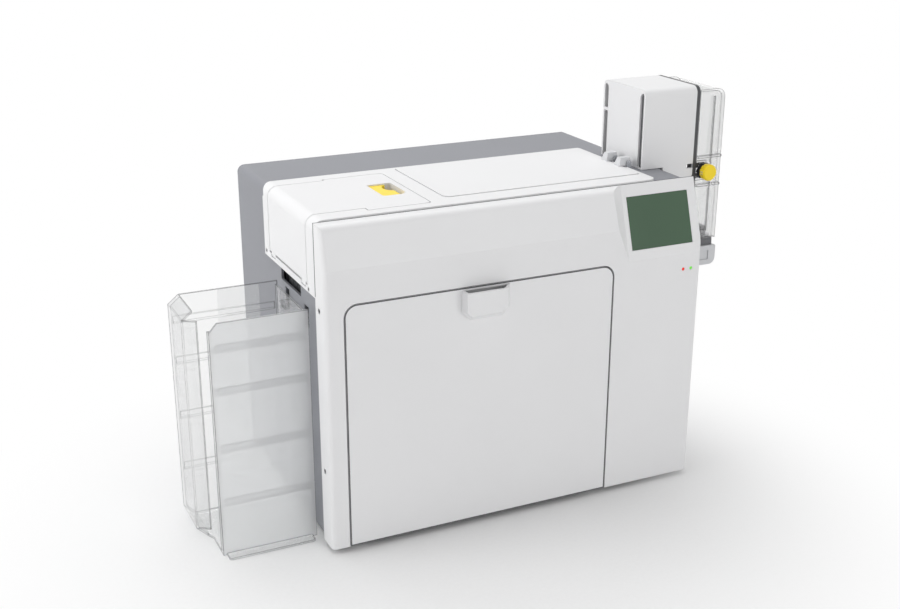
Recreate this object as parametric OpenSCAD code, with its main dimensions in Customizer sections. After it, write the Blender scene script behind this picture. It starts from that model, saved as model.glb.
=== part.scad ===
/* [Overall] */
// Width across the front cover
cover_w = 386; // [340:1:440]
// Height of the top edge of the front cover above the table
cover_top = 308.4; // [280:0.2:340]
// Depth from the front face to the rear panel
body_d = 260; // [240:1:310]
// Wall of the moulded covers
wall = 2.5; // [2:0.1:3.5]
// Height of the body above the table
foot_h = 6.5; // [5:0.5:12]

/* [Front cover] */
// Height of the cover's bottom edge above the table
cover_lift = 5; // [3:0.5:10]
// Height of the fold where the front leans back
fold_h = 271; // [262:1:285]
// Lean of the band above the fold, in degrees
band_lean = 13.9; // [8:0.1:18]
// Depth of the cover's sides
cover_d = 23.6; // [20:0.2:30]
// Radius of the long top edge
top_edge_r = 7; // [3:0.5:9]
// Radius of the upright front edges
side_edge_r = 4.5; // [3:0.5:8]
// Height where the display facet starts
facet_foot = 239.3; // [236:0.1:250]
// Lean of the display facet, in degrees
facet_lean = 17.8; // [15:0.1:19]
// Width of the display facet at its face
facet_w = 82.5; // [78:0.5:90]
// Slope of the facet's left wall, in degrees
facet_draft = 52; // [40:1:60]

/* [Front door] */
// Left edge of the door
door_x = 17.5; // [12:0.5:25]
// Width of the door
door_w = 269.5; // [240:0.5:280]
// Height of the door's top edge above the table
door_top = 238.7; // [220:0.1:240]
// Corner radius of the door's top
door_r = 12; // [6:1:20]
// Height of the door's hinge line above the table
door_hinge_z = 11.5; // [9:0.5:14]
// Depth of the door's hinge line behind the face
door_hinge_y = 9; // [8:0.5:11]
// Depth of the rim round the door's back
door_rim = 12; // [8:0.5:14]
// Width of the cup handle
grip_w = 40.3; // [30:0.1:60]
// Left edge of the cup handle
grip_x = 128.9; // [110:0.1:150]
// Height of the cup handle's lip
grip_h = 22; // [16:0.5:30]
// Reach of the cup handle in front of the door
grip_out = 11.5; // [8:0.5:16]

/* [Display] */
// Width of the screen
screen_w = 68; // [50:1:76]
// Height of the screen along the facet
screen_h = 50.5; // [40:0.5:56]
// Distance of the screen's right edge from the cover's right side
screen_in = 9.5; // [6:0.5:14]
// Height above the facet's foot where the screen starts
screen_up = 10.2; // [8:0.1:16]
// Spacing of the two indicator lights
light_gap = 8.7; // [6:0.1:14]
// Height of the indicator lights above the table
light_z = 224; // [215:0.5:232]
// Radius of an indicator light
light_r = 1.6; // [1:0.1:3]

/* [Outer housing] */
// Inset of the housing from the front cover's sides
housing_in = 3.3; // [3.2:0.1:6]
// Drop of the housing's top below the front cover's top edge
housing_drop = 1.9; // [1:0.1:4]
// Radius of the housing's long top edges
housing_r = 7; // [3:0.5:12]
// Height of the card exit slot
exit_h = 13.5; // [10:0.5:16]

/* [Top cover] */
// Rise of the top cover above the front cover's top edge
top_rise = 1.5; // [0.5:0.1:3]
// Distance of the top cover's right edge from the cover's right side
top_in = 40.5; // [34:0.5:56]
// Rear edge of the top cover behind the face
top_rear = 170; // [160:1:200]
// Height of the top cover's left skirt bottom
skirt_z = 241; // [235:1:255]
// Radius of the top cover's left shoulder
shoulder_r = 10; // [6:0.5:14]

/* [Side flap] */
// Right edge of the flap on the top
flap_w = 116; // [100:1:124]
// Front edge of the flap
flap_front = 44; // [40:1:50]
// Rear edge of the flap
flap_rear = 150; // [140:1:160]
// Rise of the flap's lower edge above the skirt's bottom
flap_rise = 8; // [7:0.5:12]
// Seam round the flap and the lid
seam = 0.8; // [0.5:0.1:1.5]
// Width of the latch pocket
pocket_w = 24; // [18:1:30]
// Length of the latch pocket
pocket_l = 42; // [34:1:46]

/* [Top lid] */
// Left edge of the lid
lid_x = 134.5; // [126:0.5:140]
// Distance of the lid's right edge from the cover's right side
lid_in = 45.4; // [45:0.1:66]
// Front edge of the lid
lid_front = 47; // [44:1:60]
// Rear edge of the lid
lid_rear = 164.5; // [150:0.5:165]

/* [Feeder] */
// Reach of the feeder tower over the housing, from the cover's right side
tower_in = 27.6; // [24:0.1:31]
// Width of the tower's white cover
tower_w = 64.3; // [60:0.1:70]
// Reach of the clear door beyond the cover's right side
feeder_out = 66.6; // [60:0.1:80]
// Front face of the tower
tower_front = 69.5; // [66:0.5:76]
// Depth of the tower
tower_d = 76; // [70:0.5:86]
// Height of the tower's top above the table
tower_top = 385; // [340:1:430]
// Bottom of the feeder base
feeder_low = 197.6; // [185:0.2:205]
// Top of the feeder base
feeder_deck = 218; // [214:0.5:222]
// Height of the card tray in the feeder
tray_z = 226; // [224:0.5:228]
// Radius of the release knob
knob_r = 8.3; // [6:0.1:10]
// Height of the release knob above the table
knob_z = 299; // [285:1:330]
// Travel of the release knob
knob_pull = 4; // [2:0.5:5]

/* [Output hopper] */
// Reach of the hopper from the side of the machine
hopper_out = 104.8; // [95:0.1:110]
// Reach of the hopper's front wall
hopper_front_out = 91; // [84:0.5:94]
// Front of the hopper behind the cover's face
hopper_y = 40.2; // [36:0.2:44]
// Depth of the hopper
hopper_d = 89.7; // [80:0.1:92]
// Height of the hopper's rim above the table
hopper_top = 225.5; // [180:0.5:226]
// Wall of the clear hopper
clear_wall = 2; // [1.6:0.1:3.2]
// Chamfer at the hopper's outer edges
hopper_chamfer = 10.5; // [6:0.5:14]
// Lift that frees the hopper
hopper_lift = 12; // [8:1:14]

/* [Frame] */
// Sheet of the steel frame
sheet = 1.5; // [1:0.1:2.5]
// Front face of the front frame plate
frame_front = 62; // [60:0.5:64]
// Front face of the rear frame plate
frame_rear = 135.5; // [134:0.5:138]
// Left end of the frame plates
frame_x = 10; // [9:0.5:12]
// Distance of the frame plates' right end from the cover's right side
frame_in = 30; // [29:0.5:34]
// Drop of the frame plates' top below the housing's top
frame_drop = 8.5; // [6:0.5:14]

/* [Card path] */
// Height of the card path above the table
path_z = 233; // [232:0.5:234]
// Width left for a card across its travel
card_w = 56; // [54.5:0.5:58]
// Middle of the card path behind the face
card_y = 100.4; // [99:0.1:101]
// Radius of a feed roller
feed_r = 8; // [6:0.5:9]
// Radius of the roller shafts
shaft_r = 3; // [2.5:0.1:3.5]
// Radius of the flipper
flipper_r = 45; // [44:0.5:46]
// Middle of the flipper from the left side
flipper_x = 70; // [68:0.5:72]

/* [Print unit] */
// Radius of the print roller
platen_r = 11; // [9:0.5:13]
// Radius of the heated transfer roller
hot_r = 13; // [11:0.5:14]
// Radius of the pressure roller above the transfer roller
press_r = 10; // [8:0.5:11]
// Middle of the transfer rollers from the left side
transfer_x = 180; // [176:1:184]
// Middle of the print roller from the left side
platen_x = 150; // [148:0.5:152]
// Middle of the print roller above the table
platen_z = 130; // [126:1:134]

/* [Cassettes] */
// Middle of the ribbon spools from the left side
ribbon_x = 80; // [76:1:84]
// Radius of a full ribbon spool
ribbon_full_r = 21; // [18:0.5:23]
// Middle of the film spools from the left side
film_x = 242; // [238:1:244]
// Radius of a full film spool
film_full_r = 24; // [20:0.5:27]
// Radius of a spool core
core_r = 9; // [7:0.5:11]
// Travel of a cassette towards the closed door
cassette_pull = 26; // [15:1:28]

/* [Electronics] */
// Width of the main board
board_w = 160; // [120:1:180]
// Width of the power supply
supply_w = 112; // [90:1:120]
// Side of the cooling fan
fan_side = 60; // [50:5:70]
// Height of the rear sockets' lower edge above the table
socket_z = 20; // [18:1:26]

/* [Fit] */
// Air between pieces that lie together
air = 0.3; // [0.2:0.05:0.5]
// Running clearance on the radius of a shaft
run = 0.06; // [0.03:0.01:0.1]

/* [Hidden] */
$fn = 48;
e = 0.05;
far = 400;
housing_top = cover_top - housing_drop;
top_z = cover_top + top_rise;
top_w = cover_w - top_in;
lid_right = cover_w - lid_in;
tower_x = cover_w - tower_in;
feeder_right = cover_w + feeder_out;
frame_right = cover_w - frame_in;
frame_top = housing_top - frame_drop;
facet_x = cover_w - facet_w;
screen_x = cover_w - screen_in - screen_w;
flap_low = skirt_z + flap_rise;
hopper_side = 1.2;
mid_x = (feeder_right + 1.9 - hopper_out) / 2;
switch_out = 2.3;
mid_y = (body_d + switch_out - grip_out) / 2;
housing_x1 = cover_w - housing_in;
base_z = foot_h + sheet;
card_y0 = card_y - card_w / 2;
card_y1 = card_y + card_w / 2;
nip = 0.4;

// Box between two corners
module block(lo, hi) {
    translate(lo) cube(hi - lo);
}

// Shape drawn in X and Z, between two depths
module along_y(y0, y1) {
    translate([0, y1, 0]) rotate([90, 0, 0]) linear_extrude(y1 - y0) children();
}

// Shape drawn in Y and Z, between two widths
module along_x(x0, x1) {
    translate([x0, 0, 0]) rotate([90, 0, 90]) linear_extrude(x1 - x0) children();
}

// Shape drawn in X and Y, between two heights
module along_z(z0, z1) {
    translate([0, 0, z0]) linear_extrude(z1 - z0) children();
}

// Flat rectangle between two corners with its own radius at each corner, from lower left round
module panel(lo, hi, r) {
    at = [[lo.x, lo.y], [hi.x, lo.y], [hi.x, hi.y], [lo.x, hi.y]];
    way = [[1, 1], [-1, 1], [-1, -1], [1, -1]];
    difference() {
        translate(lo) square(hi - lo);
        for (i = [0:3]) if (r[i] > 0) translate(at[i]) difference() {
            translate([min(0, way[i].x * r[i]), min(0, way[i].y * r[i])]) square(r[i]);
            translate(way[i] * r[i]) circle(r[i]);
        }
    }
}

// Round bar along the depth
module bar_y(x, z, r, y0, y1) {
    translate([x, y1, z]) rotate([90, 0, 0]) cylinder(r = r, h = y1 - y0);
}

// Round bar along the width
module bar_x(y, z, r, x0, x1) {
    translate([x0, y, z]) rotate([0, 90, 0]) cylinder(r = r, h = x1 - x0);
}

// Thin web through a list of points in X and Z
module web_line(points, t) {
    for (i = [0:len(points) - 2]) {
        d = points[i + 1] - points[i];
        translate(points[i]) rotate(atan2(d.y, d.x)) translate([0, -t / 2]) square([norm(d), t]);
        translate(points[i + 1]) circle(t / 2, $fn = 13);
    }
}

// ---- Front cover ----
band_t = tan(band_lean);
edge_z = cover_top - top_edge_r;
edge_y = (top_edge_r + (edge_z - fold_h) * sin(band_lean)) / cos(band_lean);

// Side outline of the front, inset by a wall
module front_profile(t) {
    polygon([[t, cover_lift - (t > 0 ? 1 : 0)], [t, fold_h - t * tan(band_lean / 2)],
        [edge_y - (top_edge_r - t) * cos(band_lean), edge_z + (top_edge_r - t) * sin(band_lean)],
        [edge_y, cover_top - t], [cover_d + (t > 0 ? 1 : 0), cover_top - t],
        [cover_d + (t > 0 ? 1 : 0), cover_lift - (t > 0 ? 1 : 0)]]);
    translate([edge_y, edge_z]) circle(top_edge_r - t);
}

// Front form whose upright edges are rounded below and above the fold, inset by a wall
module front_form(t) {
    intersection() {
        along_x(t, cover_w - t) front_profile(t);
        along_z(-10, far) front_plan(t, 0);
        translate([0, 0, fold_h]) rotate([-band_lean, 0, 0]) along_z(-far, 100) front_plan(t, 0.03);
    }
}

// Plan of the front form, inset by a wall, its corners rounded more by g
module front_plan(t, g) {
    panel([t, t], [cover_w - t, 200], [side_edge_r + g, side_edge_r + g, 0, 0]);
}

// Space in front of the display facet, moved back by a wall
module facet_cut(t) {
    translate([0, 0, facet_foot]) rotate([-facet_lean, 0, 0]) difference() {
        block([facet_x - 70, -60, -40], [cover_w + 20, t, 90]);
        translate([facet_x - t, t, -50]) rotate(-facet_draft) block([-150, -150, 0], [0, 150, 150]);
    }
}

// Outline of the door opening, grown by a gap
module door_outline(g, low) {
    panel([door_x - g, low], [door_x + door_w + g, door_top + g], [0, 0, door_r + g, door_r + g]);
}

module on_facet() {
    translate([0, 0, facet_foot]) rotate([-facet_lean, 0, 0]) children();
}

module front_cover() {
    color("gainsboro") difference() {
        union() {
            difference() {
                front_form(0);
                difference() {
                    front_form(wall);
                    facet_cut(wall);
                }
                facet_cut(0);
                along_y(-1, cover_d + 1) door_outline(seam, -1);
            }
            // Return round the door opening
            along_y(wall - e, 9) difference() {
                door_outline(seam + wall, cover_lift);
                door_outline(seam, -1);
            }
            // Bosses that carry the cover on the housing's edge
            for (z = [30, 120, 200], x = [wall - e, cover_w - wall - 7 + e])
                block([x, wall - e, z], [x + 7, 11.7, z + 6]);
        }
        // Screen seat
        on_facet() block([screen_x - 0.15, -1, screen_up - 0.15],
            [screen_x + screen_w + 0.15, wall + 1, screen_up + screen_h + 0.15]);
        // Light holes
        for (i = [0, 1]) bar_y(light_x + i * light_gap, light_z, light_r + run, -1, wall + 1);
        // Screw recesses in the left side
        for (z = screw_z) bar_x(screw_y, z, screw_r + 0.1, -1, 1.2);
    }
}

light_x = cover_w - 20.4;
screw_y = 14.6;
screw_r = 2.5;
screw_z = [78.8, 232];

module cover_screws() {
    color("dimgray") {
        for (z = screw_z) {
            bar_x(screw_y, z, screw_r, 0.5, 1.2);
        }
        bar_x(top_screw_front[0], top_screw_front[1], 1.9, 0.6, 1.3);
        bar_x(top_screw_rear[0], top_screw_rear[1], 1.9, 0.6, 1.3);
    }
}

top_screw_front = [41, 243.8];
top_screw_rear = [161, 245.5];

// ---- Front door ----
pin_r = 2.5;
grip_pocket = 13;
grip_top = door_top - 2;
grip_low = grip_top - grip_h;
door_low = cover_lift + 0.4;
door_ends = [door_x + 6, door_x + door_w - 19];

module front_door() {
    color("gainsboro") difference() {
        union() {
            difference() {
                along_y(0, door_rim + wall) door_outline(0, door_low);
                along_y(wall, door_rim + wall + 1) door_outline(-wall, door_low - 1);
            }
            // Knuckles on the hinge pins
            for (x = door_ends) along_x(x, x + 12) union() {
                translate([wall - e, door_low]) square([door_hinge_y - wall, 11]);
                translate([door_hinge_y, door_hinge_z]) circle(5);
            }
            // Stiffening ribs inside the door
            for (i = [1:4]) block([door_x + i * door_w / 5 - 0.8, wall - e, door_low + 2],
                [door_x + i * door_w / 5 + 0.8, wall + 3, door_top - 36]);
            for (z = [70, 130, 190])
                block([door_x + 1, wall - e, z], [door_x + door_w - 1, wall + 3, z + 1.6]);
            // Pocket behind the grip
            along_y(wall - e, grip_pocket) grip_mouth(1.6);
        }
        for (x = door_ends) bar_x(door_hinge_y, door_hinge_z, pin_r + run, x - 1, x + 13);
        along_y(-1, grip_pocket - 1.6) grip_mouth(0);
    }
}

// Outline of the hand opening in the door, grown by a wall
module grip_mouth(g) {
    panel([grip_x + 2 - g, grip_low + 4 - g], [grip_x + grip_w + 5 + g, door_top - 3 + g],
        [4, 4, 1, 1]);
}

// Outline of the cup handle from x0 to x1 with cut lower corners
module cup_outline(x0, x1, z0, z1, cut_l, cut_r) {
    polygon([[x0, z1], [x0, z0 + cut_l], [x0 + cut_l, z0], [x1 - cut_r, z0], [x1, z0 + cut_r], [x1, z1]]);
}

module door_handle() {
    back_low = grip_low - 7;
    back_right = grip_x + grip_w + 7.2;
    color("gainsboro") difference() {
        hull() {
            along_y(-grip_out, -grip_out + 1)
                cup_outline(grip_x, grip_x + grip_w, grip_low, grip_top, 4.5, 6);
            along_y(-1, 0) cup_outline(grip_x, back_right, back_low, grip_top, 8, 7);
        }
        hull() {
            along_y(-grip_out + 2.2, -grip_out + 3)
                cup_outline(grip_x + 2.2, grip_x + grip_w - 2.2, grip_low + 2.2, grip_top + 9, 4, 5.4);
            along_y(-1, 1) cup_outline(grip_x + 2.2, back_right - 2.2, back_low + 2.2, grip_top + 9, 7, 6);
        }
    }
}

module door_pins() {
    color("silver") for (x = door_ends) {
        bar_x(door_hinge_y, door_hinge_z, pin_r, x - 2.1, x + 14.1);
        // Brackets from the base plate to the pin
        for (bx = [x - 2, x + 12.5]) along_x(bx, bx + 1.5) union() {
            translate([door_hinge_y, door_hinge_z]) circle(4);
            translate([door_hinge_y, base_z]) square([26, 4.5]);
        }
        block([x - 2, 27, base_z], [x + 14, 35, base_z + 1.5]);
    }
}

// ---- Display ----
module screen() {
    color("darkslategray") on_facet() along_y(0, 1.4)
        panel([screen_x, screen_up], [screen_x + screen_w, screen_up + screen_h], [1.5, 1.5, 1.5, 1.5]);
}

module display_module() {
    color("dimgray") on_facet() {
        block([screen_x + 1, 1.4, screen_up + 1], [screen_x + screen_w - 1, 7, screen_up + screen_h - 1]);
        block([screen_x - 4, wall + air, screen_up - 6], [screen_x + screen_w, 5, screen_up + screen_h + 1]);
    }
}

// Indicator with a sloping edge and a shoulder behind the cover
module light(i) {
    x = light_x + i * light_gap;
    bar_y(x, light_z, light_r, 0.6, 5);
    bar_y(x, light_z, light_r + 0.6, wall + air, 5);
    translate([x, 0.6 + e, light_z]) rotate([90, 0, 0]) cylinder(r1 = light_r, r2 = light_r - 0.5, h = 0.6);
}

module light_red() {
    color("red") light(0);
}

module light_green() {
    color("limegreen") light(1);
}

// ---- Outer housing ----
exit_z0 = path_z - 6.5;
tower_gap = 0.3;

module outer_housing() {
    color("darkgray") difference() {
        along_y(12, body_d - 2.5) panel([housing_in, foot_h], [housing_x1, housing_top], [0, 0, housing_r, housing_r]);
        along_y(11, body_d) panel([housing_in + wall, foot_h - 1], [housing_x1 - wall, housing_top - wall],
            [0, 0, housing_r - wall, housing_r - wall]);
        // Openings under the top cover's flap and lid
        block([housing_in - 1, 36, flap_low + 3], [housing_in + 40, 158, cover_top + 5]);
        block([housing_in + 20, 33, housing_top - 20], [lid_right - 5, 160, cover_top + 5]);
        // Front edge steps down behind the front cover's band
        along_x(0, cover_w) polygon([[11, 240], [12.5, 240], [24.5, cover_top - wall - 1], [24.5, far], [11, far]]);
        // Card exit
        along_x(housing_in - 1, housing_in + wall + 1)
            panel([card_y0, exit_z0], [card_y1, exit_z0 + exit_h], [1, 1, 1, 1]);
        // Hooks of the output hopper
        for (y = hook_y) block([housing_in - 1, y - 5.5, hook_z - 0.3],
            [housing_in + wall + 1, y + 5.5, hook_z + hopper_lift + 7]);
        // Feeder opening in the side and the top
        block([housing_x1 - wall - 1, tower_front + 2.5, tray_z - 4],
            [housing_x1 + 1, tower_y1 - 2.5, housing_top + 1]);
        block([tower_x + tower_wall, tower_front + tower_wall, housing_top - 10],
            [housing_x1 + 1, tower_front + tower_d - 2.5, housing_top + 1]);
        // Vents low in the right side
        for (i = [0:6]) along_x(housing_x1 - wall - 1, housing_x1 + 1) slot_2d(160 + i * 11, 40, 34);
    }
}

// Upright slot with round ends in Y and Z
module slot_2d(y, z, h) {
    translate([y - 1.6, z]) square([3.2, h]);
    for (k = [0, h]) translate([y, z + k]) circle(1.6);
}

module rear_panel() {
    color("darkgray") difference() {
        along_y(body_d - 2.5 + 0, body_d) difference() {
            panel([housing_in, foot_h], [housing_x1, housing_top], [0, 0, housing_r, housing_r]);
            // Grille over the fan
            for (i = [-3:3]) let (h = sqrt(pow(fan_side / 2 - 3, 2) - pow(i * 7.2, 2)))
                rear_slot(fan_x + i * 7.2, fan_z - h, 2 * h);
            // Vents over the board
            for (i = [0:11]) rear_slot(board_x + 14 + i * 11, 120, 52);
            // Sockets
            translate([inlet_x, socket_z]) square([inlet_w, inlet_h]);
            translate([switch_x, socket_z + 2]) square([switch_w, switch_h]);
            translate([usb_x - 0.3, board_z + 1.6]) square([usb_w + 0.6, usb_h + 0.6]);
            translate([net_x - 0.3, board_z + 1.6]) square([net_w + 0.6, net_h + 0.6]);
        }
    }
    // Tabs that sit inside the housing
    color("darkgray") for (z = [60, 180, 270], x = [housing_in + wall + air, housing_x1 - wall - air - 8])
        block([x, body_d - 12, z], [x + 8, body_d - 2.5, z + 12]);
}

module rear_slot(x, z, h) {
    translate([x - 1.7, z]) square([3.4, h]);
    for (k = [0, h]) translate([x, z + k]) circle(1.7);
}

fan_x = cover_w - 94;
fan_z = 170;
inlet_x = cover_w - 90;
inlet_w = 27.5;
inlet_h = 20;
switch_x = cover_w - 50;
switch_w = 13;
switch_h = 19;
board_x = 40;
board_z = base_z + 12;
usb_x = 84;
usb_w = 12;
usb_h = 11;
net_x = 112;
net_w = 16;
net_h = 13.5;

module base_plate() {
    color("silver") difference() {
        union() {
            block([housing_in + wall + air, 26.5, foot_h], [housing_x1 - wall - air, body_d - 3, base_z]);
            // Folded edges
            for (x = [housing_in + wall + air, housing_x1 - wall - air - sheet])
                block([x, 40, foot_h], [x + sheet, body_d - 16, foot_h + 14]);
        }
        // Air inlets
        for (i = [0:9], j = [0:3]) translate([70 + i * 26, 165 + j * 20, foot_h - 1]) cylinder(r = 3, h = sheet + 2);
    }
}

module feet() {
    color("dimgray") for (x = [28, cover_w - 28], y = [42, body_d - 22]) translate([x, y, 0]) {
        cylinder(r1 = 7.5, r2 = 9, h = 2);
        translate([0, 0, 2]) cylinder(r = 9, h = foot_h - 2);
    }
}

// ---- Top cover and flap ----
top_wall = top_z - housing_top - air;
side_wall = housing_in - air;

// Outline of the flap seen from above, grown by a gap
module flap_plan(g) {
    translate([-20, flap_front - g]) square([20 + flap_step + g, flap_rear - flap_front + 2 * g]);
    panel([flap_step - g, flap_front - 7 - g], [flap_w + g, flap_rear + 4 + g], [0, 4, 4, 0]);
}

// Bent sheet of the top cover in X and Z, moved in by t at the inside
module shoulder(t, x1, low) {
    difference() {
        panel([0, low], [x1, top_z], [0, 0, 0, shoulder_r]);
        panel([side_wall, low - 1], [x1 + 1, top_z - top_wall], [0, 0, 0, shoulder_r - side_wall]);
    }
}

module top_cover() {
    color("whitesmoke") difference() {
        intersection() {
            along_y(cover_d + air, top_rear) shoulder(0, top_w, skirt_z);
            union() {
                along_z(0, far) panel([0, cover_d + air], [top_w, top_rear], [2, 8, 3, 8]);
                block([0, cover_d + air, 0], [4, top_rear - 4, top_z - 12]);
            }
        }
        // Flap opening over the top and down the side
        along_z(top_z - top_wall - 1, far) flap_plan(seam);
        block([-1, flap_front - seam, flap_low - 2.2], [side_wall + 1, flap_rear + seam, top_z - shoulder_r + 1]);
        block([-1, flap_front - seam, top_z - shoulder_r], [shoulder_r + 1, flap_rear + seam, top_z + 1]);
        // Notches for the flap's knuckles, with the holes of their pins
        for (y = flap_ends) {
            block([-1, y - air, flap_hinge_z - 1.8], [side_wall + 1, y + 12 + air, flap_low]);
            bar_y(flap_hinge_x, flap_hinge_z, flap_pin_r + run, y - 2.6, y + 14.6);
        }
        // Lid opening
        along_z(top_z - top_wall - 1, far)
            panel([lid_x - seam, lid_front - seam], [lid_right + seam, lid_rear + seam], [7, 4, 4, 4]);
        // Screws at the skirt's lower corners
        for (p = [top_screw_front, top_screw_rear]) bar_x(p[0], p[1], 2, -1, 1.3);
        // Bevel at the rear end of the skirt
        along_x(-1, 4) polygon([[top_rear - 5, skirt_z - 1], [top_rear + 1, skirt_z - 1], [top_rear + 1, skirt_z + 6]]);
        // Notches for the lid's hinges at the right edge
        for (y = lug_y) block([lid_hinge_x - 5, y - 2.4, top_z - top_wall - 1],
            [top_w + 1, y + lug_l + 2.4, top_z + 1]);
    }
    // Ledge that carries the lid's front edge
    color("whitesmoke") {
        block([lid_x + 20, lid_front - 3, top_z - top_wall - 2],
            [lid_right - 30, lid_front - seam, top_z - top_wall + e]);
        block([lid_x + 20, lid_front - 2, top_z - top_wall - 2],
            [lid_right - 30, lid_front + 4, top_z - top_wall - air]);
    }
}

// Outline of the latch pocket seen from above, longer on the left by a step and grown by a gap
module flap_pocket(left, g) {
    panel([latch_x - left - g, latch_y - g], [latch_x + pocket_w + g, latch_y + pocket_l + g], [3, 8, 3, 3]);
}

flap_step = 56;
latch_x = 85.9;
latch_y = 75;
latch_travel = 5;
latch_skin = 1;
tongue_y = latch_y + 4;
tongue_w = 12;
flap_hinge_x = 1.6;
flap_hinge_z = flap_low - 3.6;
flap_pin_r = 0.8;

module side_flap() {
    color("whitesmoke") difference() {
        union() {
            intersection() {
                along_y(flap_front - 8, flap_rear + 5) shoulder(0, flap_w, flap_low);
                union() {
                    along_z(top_z - shoulder_r, far) flap_plan(0);
                    block([-1, flap_front, 0], [side_wall + 0.5, flap_rear, top_z - shoulder_r + 1]);
                }
            }
            // Tub that the latch slides in
            along_z(top_z - 11, top_z - top_wall + e) flap_pocket(latch_travel + 1, 1.5);
            // Stiffening ribs under the top
            for (y = [60, 100, 135]) block([side_wall + 6, y, top_z - top_wall - 4],
                [latch_x - latch_travel - 2, y + 1.6, top_z - top_wall + e]);
            // Knuckles
            for (y = flap_ends) {
                bar_y(flap_hinge_x, flap_hinge_z, 1.4, y, y + 12);
                block([0.4, y, flap_hinge_z], [side_wall - 0.2, y + 12, flap_low + e]);
            }
        }
        // Bevel under the step in the outline, so that the flap swings clear of the cover
        for (y = [flap_front - 8, flap_rear]) along_y(y, y + 8) polygon([[flap_step - 1, top_z - 0.2],
            [flap_step + 0.1, top_z - 0.2], [flap_step + 4.2, top_z - top_wall - 0.1],
            [flap_step - 1, top_z - top_wall - 0.1]]);
        along_z(top_z - 9.5, top_z - latch_skin) flap_pocket(latch_travel + 1, 0);
        along_z(top_z - top_wall - 1, top_z + 1) flap_pocket(0, 0);
        // Hole in the tub's floor beside the latch
        along_z(top_z - 12, top_z - 9) panel([latch_x + 12, latch_y + 20],
            [latch_x + pocket_w - 2, latch_y + pocket_l - 3], [3, 3, 3, 3]);
        // Slot for the latch tongue
        block([latch_x + pocket_w - 4, tongue_y - 0.3, top_z - 8.4],
            [latch_x + pocket_w + 3, tongue_y + tongue_w + 0.3, top_z - 4.6]);
        for (y = flap_ends) bar_y(flap_hinge_x, flap_hinge_z, flap_pin_r + run, y - 1, y + 13);
    }
}

flap_ends = [flap_front + 4, flap_rear - 16];

// Sliding finger latch with a dished right side
module flap_latch() {
    lx = latch_x + 0.4;
    ly = latch_y + 0.4;
    lw = pocket_w - latch_travel - 1;
    color("gold") difference() {
        union() {
            along_z(top_z - 9.2, top_z - latch_skin - air)
                panel([lx, ly], [lx + lw, latch_y + pocket_l - 0.4], [2.6, 2.6, 2.6, 2.6]);
            block([lx + lw - 1, tongue_y, top_z - 8.1], [flap_w - 0.5, tongue_y + tongue_w, top_z - 4.9]);
        }
        // Finger hole
        translate([lx + lw + 5, latch_y + 30, top_z - 10]) cylinder(r = 12, h = 12);
    }
}

// ---- Top lid ----
module top_lid() {
    color("whitesmoke") difference() {
        union() {
            along_z(top_z - top_wall, top_z + 0.6) panel([lid_x, lid_front], [lid_right, lid_rear], [7, 4, 4, 4]);
            // Lip round the underside
            along_z(top_z - top_wall - 5, top_z - top_wall + e) difference() {
                panel([lid_x + 4, lid_front + 5], [lid_right - 6, lid_rear - 8], [5, 3, 3, 3]);
                panel([lid_x + 6, lid_front + 7], [lid_right - 8, lid_rear - 10], [4, 2, 2, 2]);
            }
            for (i = [1:4]) block([lid_x + i * 40, lid_front + 6, top_z - top_wall - 4],
                [lid_x + i * 40 + 1.6, lid_rear - 9, top_z - top_wall + e]);
        }
    }
}

// Knuckles that carry the lid at its right edge
module lid_hinges() {
    color("silver") for (y = lug_y) difference() {
        hull() {
            block([lid_right - 2.6, y, top_z + 0.6], [lug_x1, y + lug_l, top_z + 1.6]);
            block([lid_right - 0.2, y + 1.4, top_z + 7.5], [lug_x1 - 2.6, y + lug_l - 1.4, top_z + 8.6]);
        }
        bar_y(lid_hinge_x, lid_hinge_z, 1.5 + run, y - 1, y + lug_l + 1);
    }
}

lug_l = 9.5;
lug_x1 = lid_right + 12.2;
lug_y = [78.5, 102.5];
lid_hinge_x = lid_right + 7.4;
lid_hinge_z = top_z + 3.6;

// Hinge pins of the flap and the lid, with their brackets
module cover_pins() {
    color("silver") {
        for (y = flap_ends) bar_y(flap_hinge_x, flap_hinge_z, flap_pin_r, y - 2.5, y + 14.5);
        for (y = lug_y) {
            bar_y(lid_hinge_x, lid_hinge_z, 1.5, y - 2.2, y + lug_l + 2.2);
            for (k = [y - 2, y + lug_l + 0.4]) along_y(k, k + 1.6) {
                translate([lid_hinge_x, lid_hinge_z]) circle(2.6);
                translate([lid_hinge_x - 2.6, housing_top]) square([5.2, lid_hinge_z - housing_top]);
            }
        }
    }
}

// ---- Feeder ----
tower_x1 = tower_x + tower_w;
tower_y1 = tower_front + tower_d;
tower_wall = 2.3;
door_x0 = tower_x1 + 0.4;
pin_x = tower_x1 + 0.3;
pin_y = tower_y1 + 2.5;
feeder_pin_r = 1.2;
knob_x = tower_x1 + 9;
keeper_y = tower_front + tower_wall + air;
keeper_t = 0.8;
knuckle_z = [tray_z + 24, tower_top - 37];
door_knuckle_z = [for (z = knuckle_z, i = [-1, 1]) z + i * 14.3];

module feeder_base() {
    x0 = housing_x1 + air;
    x1 = feeder_right + 1.9;
    color("lightgray") difference() {
        along_y(tower_front, tower_y1) panel([x0, feeder_low], [x1, feeder_deck], [2, 7, 1.5, 0]);
        block([x0 + wall, tower_front + wall, feeder_low + wall], [x1 - wall, tower_y1 - wall, feeder_deck + 1]);
        // Shallow grip recess in the front
        along_y(tower_front - 1, tower_front + 1.2)
            panel([x0 + 14, feeder_low + 5.4], [x1 - 8.5, feeder_deck - 5], [1, 1, 1, 1]);
        // Drain and wire hole towards the machine
        bar_x((tower_front + tower_y1) / 2, feeder_low + 9, 4, x0 - 1, x0 + wall + 1);
    }
}

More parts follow.
